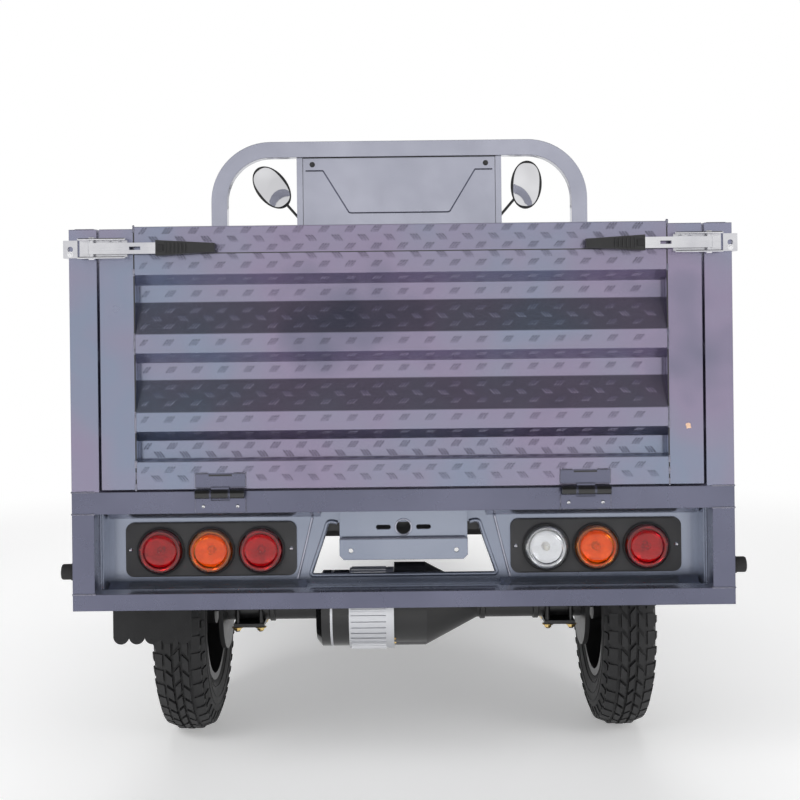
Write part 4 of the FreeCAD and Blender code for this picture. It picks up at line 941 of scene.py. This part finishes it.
def plate_details():
    """Beads along the lamp plates, and the number-plate bracket's rimmed hole and fold line, these
    two painted lighter than the bracket as a painted highlight.
    """
    low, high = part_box("tail_lamp_plates")
    beads, half_long, half_tall = Heap(), 0.144, 0.0012
    for side in SIDES:
        x = side * (high[0] - PLATE_HALF)
        for z in (high[2] - half_tall, low[2] + half_tall):
            block(beads, (x - half_long, low[1] - 0.0008, z - half_tall),
                  (x + half_long, low[1] + 0.002, z + half_tall), 0.0005)
    beads.done("lamp_plate_beads", BLACK_PLASTIC, "chassis")
    low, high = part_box("plate_bracket")
    ring, inner, outer = Heap(), 0.0134, 0.0162
    lathe(ring, (0, high[1] - SHEET, PLATE_HOLE_Z), REAR,
          [(0, outer), (0.0012, outer), (0.0018, 0.0148), (0.0012, inner), (0, inner)], 36,
          closed=True)
    extrude_x(ring, low[0] + 0.004, high[0] - 0.004,
              [(low[1] - 0.0002, PLATE_FOLD_Z), (low[1] + 0.006, PLATE_FOLD_Z + 0.002),
               (low[1] + 0.006, PLATE_FOLD_Z - 0.001)])
    # The rim and fold take the lighter paint as a painted highlight.
    ring.done("bracket_rim_and_fold", HOOP_PAINT_AND_PAINTED_HIGHLIGHT, "chassis", 40)


# ---- hoop and back panel ---------------------------------------------------------------------

# The pressed bead: share of the panel's half width, and drop below its top.
BACK_BEAD = [(-0.97, 0.042), (-0.79, 0.042), (-0.52, 0.178), (0.52, 0.178), (0.79, 0.042),
             (0.97, 0.042)]


def back_panel_details():
    """The pressed bead line, painted darker than the panel as painted shade, the two bolts and the
    seam round the panel.
    """
    low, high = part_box("back_panel")
    half, top, face = high[0], high[2], low[1]
    path = []
    for (x, drop), (next_x, next_drop) in zip(BACK_BEAD, BACK_BEAD[1:]):
        for share in (0, 0.06, 0.94):
            path.append(((x + (next_x - x) * share) * half, face - 0.0004,
                         top - drop - (next_drop - drop) * share))
    path.append((BACK_BEAD[-1][0] * half, face - 0.0004, top - BACK_BEAD[-1][1]))
    # The bead takes the darker frame paint as painted shade along the crease.
    tube("back_panel_bead", path, 0.0022, FRAME_PAINT_AND_PAINTED_SHADE, "chassis", 8)
    bolts, seams, seam_half = Heap(), Heap(), 0.0012
    for side in SIDES:
        bolt(bolts, (side * 0.9 * half, face, top - 0.022), REAR, 0.006, 0.005)
        block(seams, (side * half - seam_half, face - 0.0008, low[2]),
              (side * half + seam_half, face + SUNK, top), 0.0003)
    bolts.done("back_panel_bolts", BLACK_PAINT, "chassis")
    block(seams, (-half, face - 0.001, top - 0.0022), (half, face + SUNK, top), 0.0003)
    seams.done("back_panel_seams", BLACK_PAINT, "chassis")


# ---- drive and axle --------------------------------------------------------------------------

MOTOR_COVER, MOTOR_LONG = 0.07, 0.152
# The end cover's section: distance from the motor's end, and radius.
COVER = [(0, 0.055), (0.0005, 0.068), (0.012, 0.0806), (0.03, 0.0806), (0.0315, 0.079),
         (0.0345, 0.079), (0.036, 0.0806), (0.069, 0.0806), (0.0708, 0.0846)]
FINS, FIN_ROOT, FIN_TOP, FIN_END = 40, (0.0845, 0.0030), (0.0872, 0.0018), 0.004
GEAR_BOLTS, GEAR_BOLT_R, GEAR_FIRST, GEAR_STEP = 6, 0.079, 100, 32


def motor_details():
    """A black end cover, fins along the casing, and gold bolts round the gear case."""
    low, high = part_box("drive_motor")
    x_left, x_cover, x_flange = low[0], low[0] + MOTOR_COVER, low[0] + MOTOR_LONG
    y, z = (low[1] + high[1]) / 2, (low[2] + high[2]) / 2
    cover, fins, gold = Heap(), Heap(), Heap()
    lathe(cover, (x_left - 0.0006, y, z), (1, 0, 0), COVER, 72)
    cover.done("motor_cover", GLOSS_BLACK, "chassis", 35)
    for k in range(FINS):
        turn = 2 * math.pi * k / FINS
        out = Vector((0, math.cos(turn), math.sin(turn)))
        side = Vector((0, -math.sin(turn), math.cos(turn)))
        verts = [Vector((x, y, z)) + out * rise + side * half * way
                 for x in (x_cover + FIN_END, x_flange - FIN_END)
                 for rise, half in (FIN_ROOT, FIN_TOP) for way in SIDES]
        fins.add(verts, [[0, 1, 3, 2], [4, 6, 7, 5], [0, 4, 5, 1], [2, 3, 7, 6], [0, 2, 6, 4],
                         [1, 5, 7, 3]])
    fins.done("motor_fins", CAST, "chassis")
    for k in range(GEAR_BOLTS):
        turn = math.radians(GEAR_FIRST + GEAR_STEP * k)
        at = (x_flange + 0.014, y + GEAR_BOLT_R * math.cos(turn) * 0.85,
              z + GEAR_BOLT_R * math.sin(turn) * 0.9)
        bolt(gold, at, (-0.2, math.cos(turn), math.sin(turn)), 0.0042, 0.006)
    gold.done("gear_case_bolts", GOLD, "chassis")


AXLE_R, CLAMP_PLATE = 0.0325, 0.008
SPRING_X, CLAMP_HALF_X, CLAMP_HALF_Y = 0.348, 0.026, 0.038


def axle_details():
    """Nuts under the spring clamps and collars on the axle."""
    nuts, collars = Heap(), Heap()
    low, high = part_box("leaf_springs")
    axle_y = (low[1] + high[1]) / 2
    under = TYRE_R - AXLE_R - CLAMP_PLATE
    for side in SIDES:
        for across in SIDES:
            for end in SIDES:
                at = (side * SPRING_X + across * CLAMP_HALF_X, axle_y + end * CLAMP_HALF_Y, under)
                bolt(nuts, at, (0, 0, -1), 0.0085, 0.008)
        for x in (0.17, 0.29):
            lathe(collars, (side * x, axle_y, TYRE_R), (side, 0, 0),
                  [(0, 0.0328), (0.002, 0.0362), (0.012, 0.0362), (0.014, 0.0328)], 40)
    nuts.done("spring_clamp_nuts", GOLD, "chassis")
    collars.done("axle_collars", BLACK_PAINT, "chassis", 40)


PEG_LONG, PEG_FROM_TAIL = 0.0215, (0.02, 0.22)
FLAP_SCREW_IN, FLAP_SCREW_DROP = 0.05, 0.045


def small_fixings():
    """The frame's weld beads, caps on the pegs and screws in the mudflap."""
    frame_welds()
    caps, screws = Heap(), Heap()
    low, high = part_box("tie_down_pegs")
    z = (low[2] + high[2]) / 2
    for side in SIDES:
        for along in PEG_FROM_TAIL:
            lathe(caps, (side * (high[0] - PEG_LONG), TAIL + along, z), (side, 0, 0),
                  [(0, 0.0158), (0.004, 0.0158), (0.005, 0.0142), (0.0195, 0.0142),
                   (0.0214, 0.0125)], 36)
    caps.done("peg_sleeves", RUBBER, "chassis", 40)
    low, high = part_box("mudflap_left")
    for x in (low[0] + FLAP_SCREW_IN, high[0] - FLAP_SCREW_IN):
        screw(screws, (x, low[1], high[2] - FLAP_SCREW_DROP), REAR, 0.0045)
    screws.done("mudflap_screws", CHROME, "chassis", 40)


# ---- steering and the driver's place ---------------------------------------------------------

SQUARENESS = 2.6                               # 2 is an ellipse, more is squarer


def oval(heap, centre, lean, half_wide, half_tall, profile, steps=56):
    """A rounded oval plate facing the rear; profile is (share of the outline, distance back)."""
    turn = Matrix.Rotation(lean, 3, "Y")
    verts = []
    for share, back in profile:
        for k in range(steps):
            a = 2 * math.pi * k / steps
            bend = (abs(math.cos(a)) ** SQUARENESS + abs(math.sin(a)) ** SQUARENESS) \
                ** (-1 / SQUARENESS)
            spot = Vector((half_wide * share * bend * math.cos(a), 0,
                           half_tall * share * bend * math.sin(a)))
            verts.append(Vector(centre) + turn @ spot + Vector((0, -back, 0)))
    rings = len(profile)
    faces = [[r * steps + k, r * steps + (k + 1) % steps, (r + 1) * steps + (k + 1) % steps,
              (r + 1) * steps + k] for r in range(rings - 1) for k in range(steps)]
    faces += [list(range(steps))[::-1], [(rings - 1) * steps + k for k in range(steps)]]
    heap.add(verts, faces)


MIRROR_X, MIRROR_Z, MIRROR_LEAN = 0.474, 1.409, {-1: -38, 1: 4}
MIRROR_HALF_WIDE, MIRROR_HALF_TALL, MIRROR_RIM = 0.0515, 0.0835, 0.003


def mirror_glass():
    """A thin rim and a glass on each mirror head, turned as the head is."""
    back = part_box("mirrors")[0][1]
    glass, rims = Heap(), Heap()
    for side in SIDES:
        at, lean = (side * MIRROR_X, back, MIRROR_Z), math.radians(MIRROR_LEAN[side])
        oval(rims, at, lean, MIRROR_HALF_WIDE, MIRROR_HALF_TALL,
             [(0.97, -0.004), (1.0, -0.001), (1.0, 0.003), (0.975, 0.0045)])
        oval(glass, at, lean, MIRROR_HALF_WIDE - MIRROR_RIM, MIRROR_HALF_TALL - MIRROR_RIM,
             [(1.0, 0.0035), (0.992, 0.0052), (0.9, 0.0056)])
    rims.done("mirror_rims", BLACK_PLASTIC, "steering", 40)
    glass.done("mirror_glasses", MIRROR, "steering", 40)


LAMP_R, LAMP_GLASS_R, LAMP_DOME = 0.078, 0.069, 0.012


def headlamp_glass():
    """A bright bezel, a reflector and a domed glass on the headlamp's face."""
    low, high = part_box("headlamp")
    at, forward = (0, high[1], (low[2] + high[2]) / 2), (0, 1, 0)
    bezel, bowl, glass = Heap(), Heap(), Heap()
    lathe(bezel, at, forward, [(-0.014, 0.0752), (-0.013, LAMP_R), (0.004, LAMP_R),
                               (0.0075, 0.0745), (0.0075, LAMP_GLASS_R), (0.001, 0.068)], 64)
    lathe(bowl, at, forward, [(0.0015, 0.067), (0.0045, 0.05), (0.003, 0.03), (0.002, 0.01)], 48)
    dome = [(0.006 + LAMP_DOME * math.cos(a), LAMP_GLASS_R * math.sin(a))
            for a in [math.pi / 2 * (1 - k / 9) for k in range(9)]]
    lathe(glass, at, forward, dome + [(0.018, 0.001)], 56)
    bezel.done("headlamp_bezel", CHROME, "steering", 40)
    bowl.done("headlamp_reflector", CHROME, "steering", 40)
    glass.done("headlamp_glass", CLEAR_LENS, "steering", 40)


HAND_RIBS, HAND_RIB_PITCH, HAND_RIB_WIDE, HAND_R, HAND_RIB_R = 17, 0.006, 0.0032, 0.0168, 0.0182
LEVER_FROM_END, LEVER_R = 0.135, 0.0048
# The brake lever from its perch: outward, forward and down from the bar's axis.
LEVER = [(0, 0.018, 0.004), (0.02, 0.052, 0.008), (0.07, 0.06, 0.01), (0.125, 0.05, 0.012)]


def bar_details():
    """Ribs round the grips, and a brake lever on its perch each side."""
    low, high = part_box("handlebar_grips")
    y, z = (low[1] + high[1]) / 2, (low[2] + high[2]) / 2
    ribs = Heap()
    for side in SIDES:
        for k in range(HAND_RIBS):
            x = side * (high[0] - 0.012 - k * HAND_RIB_PITCH)
            lathe(ribs, (x - HAND_RIB_WIDE / 2, y, z), (1, 0, 0),
                  [(0, HAND_R), (0.0006, HAND_RIB_R), (0.0026, HAND_RIB_R),
                   (HAND_RIB_WIDE, HAND_R)], 28)
        lathe(ribs, (side * (high[0] - 0.004), y, z), (side, 0, 0),
              [(0, 0.017), (0.0, 0.0178), (0.003, 0.0178), (0.0038, 0.014)], 28)
        inner = high[0] - LEVER_FROM_END
        tube(f"brake_lever_{SIDE_NAME[side]}",
             [(side * (inner + out), y + ahead, z - down) for out, ahead, down in LEVER],
             LEVER_R, CHROME, "steering", 12)
        perch = Heap()
        block(perch, (side * inner - 0.013, y - 0.016, z - 0.016),
              (side * inner + 0.013, y + 0.028, z + 0.016), 0.004)
        perch.done(f"lever_perch_{SIDE_NAME[side]}", BLACK_PLASTIC, "steering")
    ribs.done("grip_ribs", RUBBER, "steering", 40)


# ---- seat ------------------------------------------------------------------------------------

SEAMS = (-0.2, -0.1, 0.0, 0.1, 0.2)
SEAM_DEEP, SEAM_WIDE, PIPING_DEEP, PIPING_WIDE = 0.009, 0.0075, 0.003, 0.004
VOXEL, PUFF, FRAMES, PRESSURE = 0.006, 0.022, 20, 4
PAD_INSET, PAD_CORNER = 0.014, 0.016


def swell(thing):
    """Inflates a closed shape as cloth and keeps the result, each point's move capped."""
    cloth = thing.modifiers.new("Cloth", "CLOTH")
    cloth.settings.use_pressure = True
    cloth.settings.uniform_pressure_force = PRESSURE
    cloth.settings.effector_weights.gravity = 0
    cloth.collision_settings.use_collision = False
    cloth.point_cache.frame_start = 1
    cloth.point_cache.frame_end = FRAMES
    for at in range(1, FRAMES + 1):
        bpy.context.scene.frame_set(at)
    seen = thing.evaluated_get(bpy.context.evaluated_depsgraph_get())
    moved = [v.co.copy() for v in seen.data.vertices]
    thing.modifiers.remove(cloth)
    bpy.context.scene.frame_set(1)
    for v, to in zip(thing.data.vertices, moved):
        step = to - v.co
        if step.length > PUFF:
            step = step.normalized() * PUFF
        v.co += step


def remade(thing, kind, **settings):
    """Applies one modifier and returns the new mesh."""
    change = thing.modifiers.new(kind, kind)
    for key, setting in settings.items():
        setattr(change, key, setting)
    seen = thing.evaluated_get(bpy.context.evaluated_depsgraph_get())
    mesh = bpy.data.meshes.new_from_object(seen)
    thing.modifiers.remove(change)
    thing.data = mesh
    return mesh


def stitch(mesh, low, high, crown):
    """Sinks the sewn channels into the top and a piping line round the sides, and keeps every
    point inside the CAD solid's box."""
    middle, reach = (low + high) / 2, (high - low) / 2
    flat = abs(crown.z) > 0.5                  # a seat, not a backrest
    span = reach.y if flat else reach.z
    for v in mesh.vertices:
        local = v.co - middle
        up = local.dot(crown)
        along = local.y if flat else local.z
        near = min(abs(local.x - seam) for seam in SEAMS)
        if up > 0:
            fade = max(0.0, 1 - (abs(along) / (span * 0.86)) ** 6)
            v.co -= crown * (SEAM_DEEP * math.exp(-((near / SEAM_WIDE) ** 2)) * fade)
        if max(abs(local.x) / reach.x, abs(along) / span) > 0.9:
            rim = abs(up - abs(reach.dot(crown)) * 0.45)
            sink = PIPING_DEEP * math.exp(-((rim / PIPING_WIDE) ** 2))
            v.co -= (local - crown * up).normalized() * sink
        v.co = Vector(min(max(c, a + 0.0006), b - 0.0002) for c, a, b in zip(v.co, low, high))


def pad(name, node, crown):
    """A padded vinyl pad in the space of its CAD solid. crown is the direction its top faces."""
    low, high = (Vector(corner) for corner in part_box(node))
    crown = Vector(crown)
    inset = Vector((PAD_INSET, PAD_INSET, PAD_INSET))
    heap = Heap()
    block(heap, low + inset - crown * 0.01, high - inset - crown * 0.004, PAD_CORNER)
    thing = bpy.data.objects.new(name, from_lists(name, heap.verts, heap.faces))
    bpy.context.collection.objects.link(thing)
    remade(thing, "REMESH", mode="VOXEL", voxel_size=VOXEL)
    swell(thing)
    mesh = remade(thing, "SUBSURF", levels=1)
    stitch(mesh, low, high, crown)
    mesh.materials.clear()
    mesh.materials.append(VINYL)
    mesh.shade_smooth()
    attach(thing, "chassis")
    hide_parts(node)


def seat_pads():
    """The seat's top faces up and the backrest's faces forward."""
    pad("seat_pad", "seat_cushion", (0, 0, 1))
    pad("backrest_pad", "backrest_cushion", (0, 1, 0))


# ---- the whole scene -------------------------------------------------------------------------

for detail in (pressed_walls, tail_lamps, wheels, gate_details, hinge_details, latch_details,
               tail_pans, plate_details, back_panel_details, motor_details, axle_details,
               mirror_glass, headlamp_glass, bar_details, seat_pads, small_fixings):
    detail()
stage_and_light()
camera()
scene = bpy.context.scene
scene.view_settings.view_transform = "Standard"
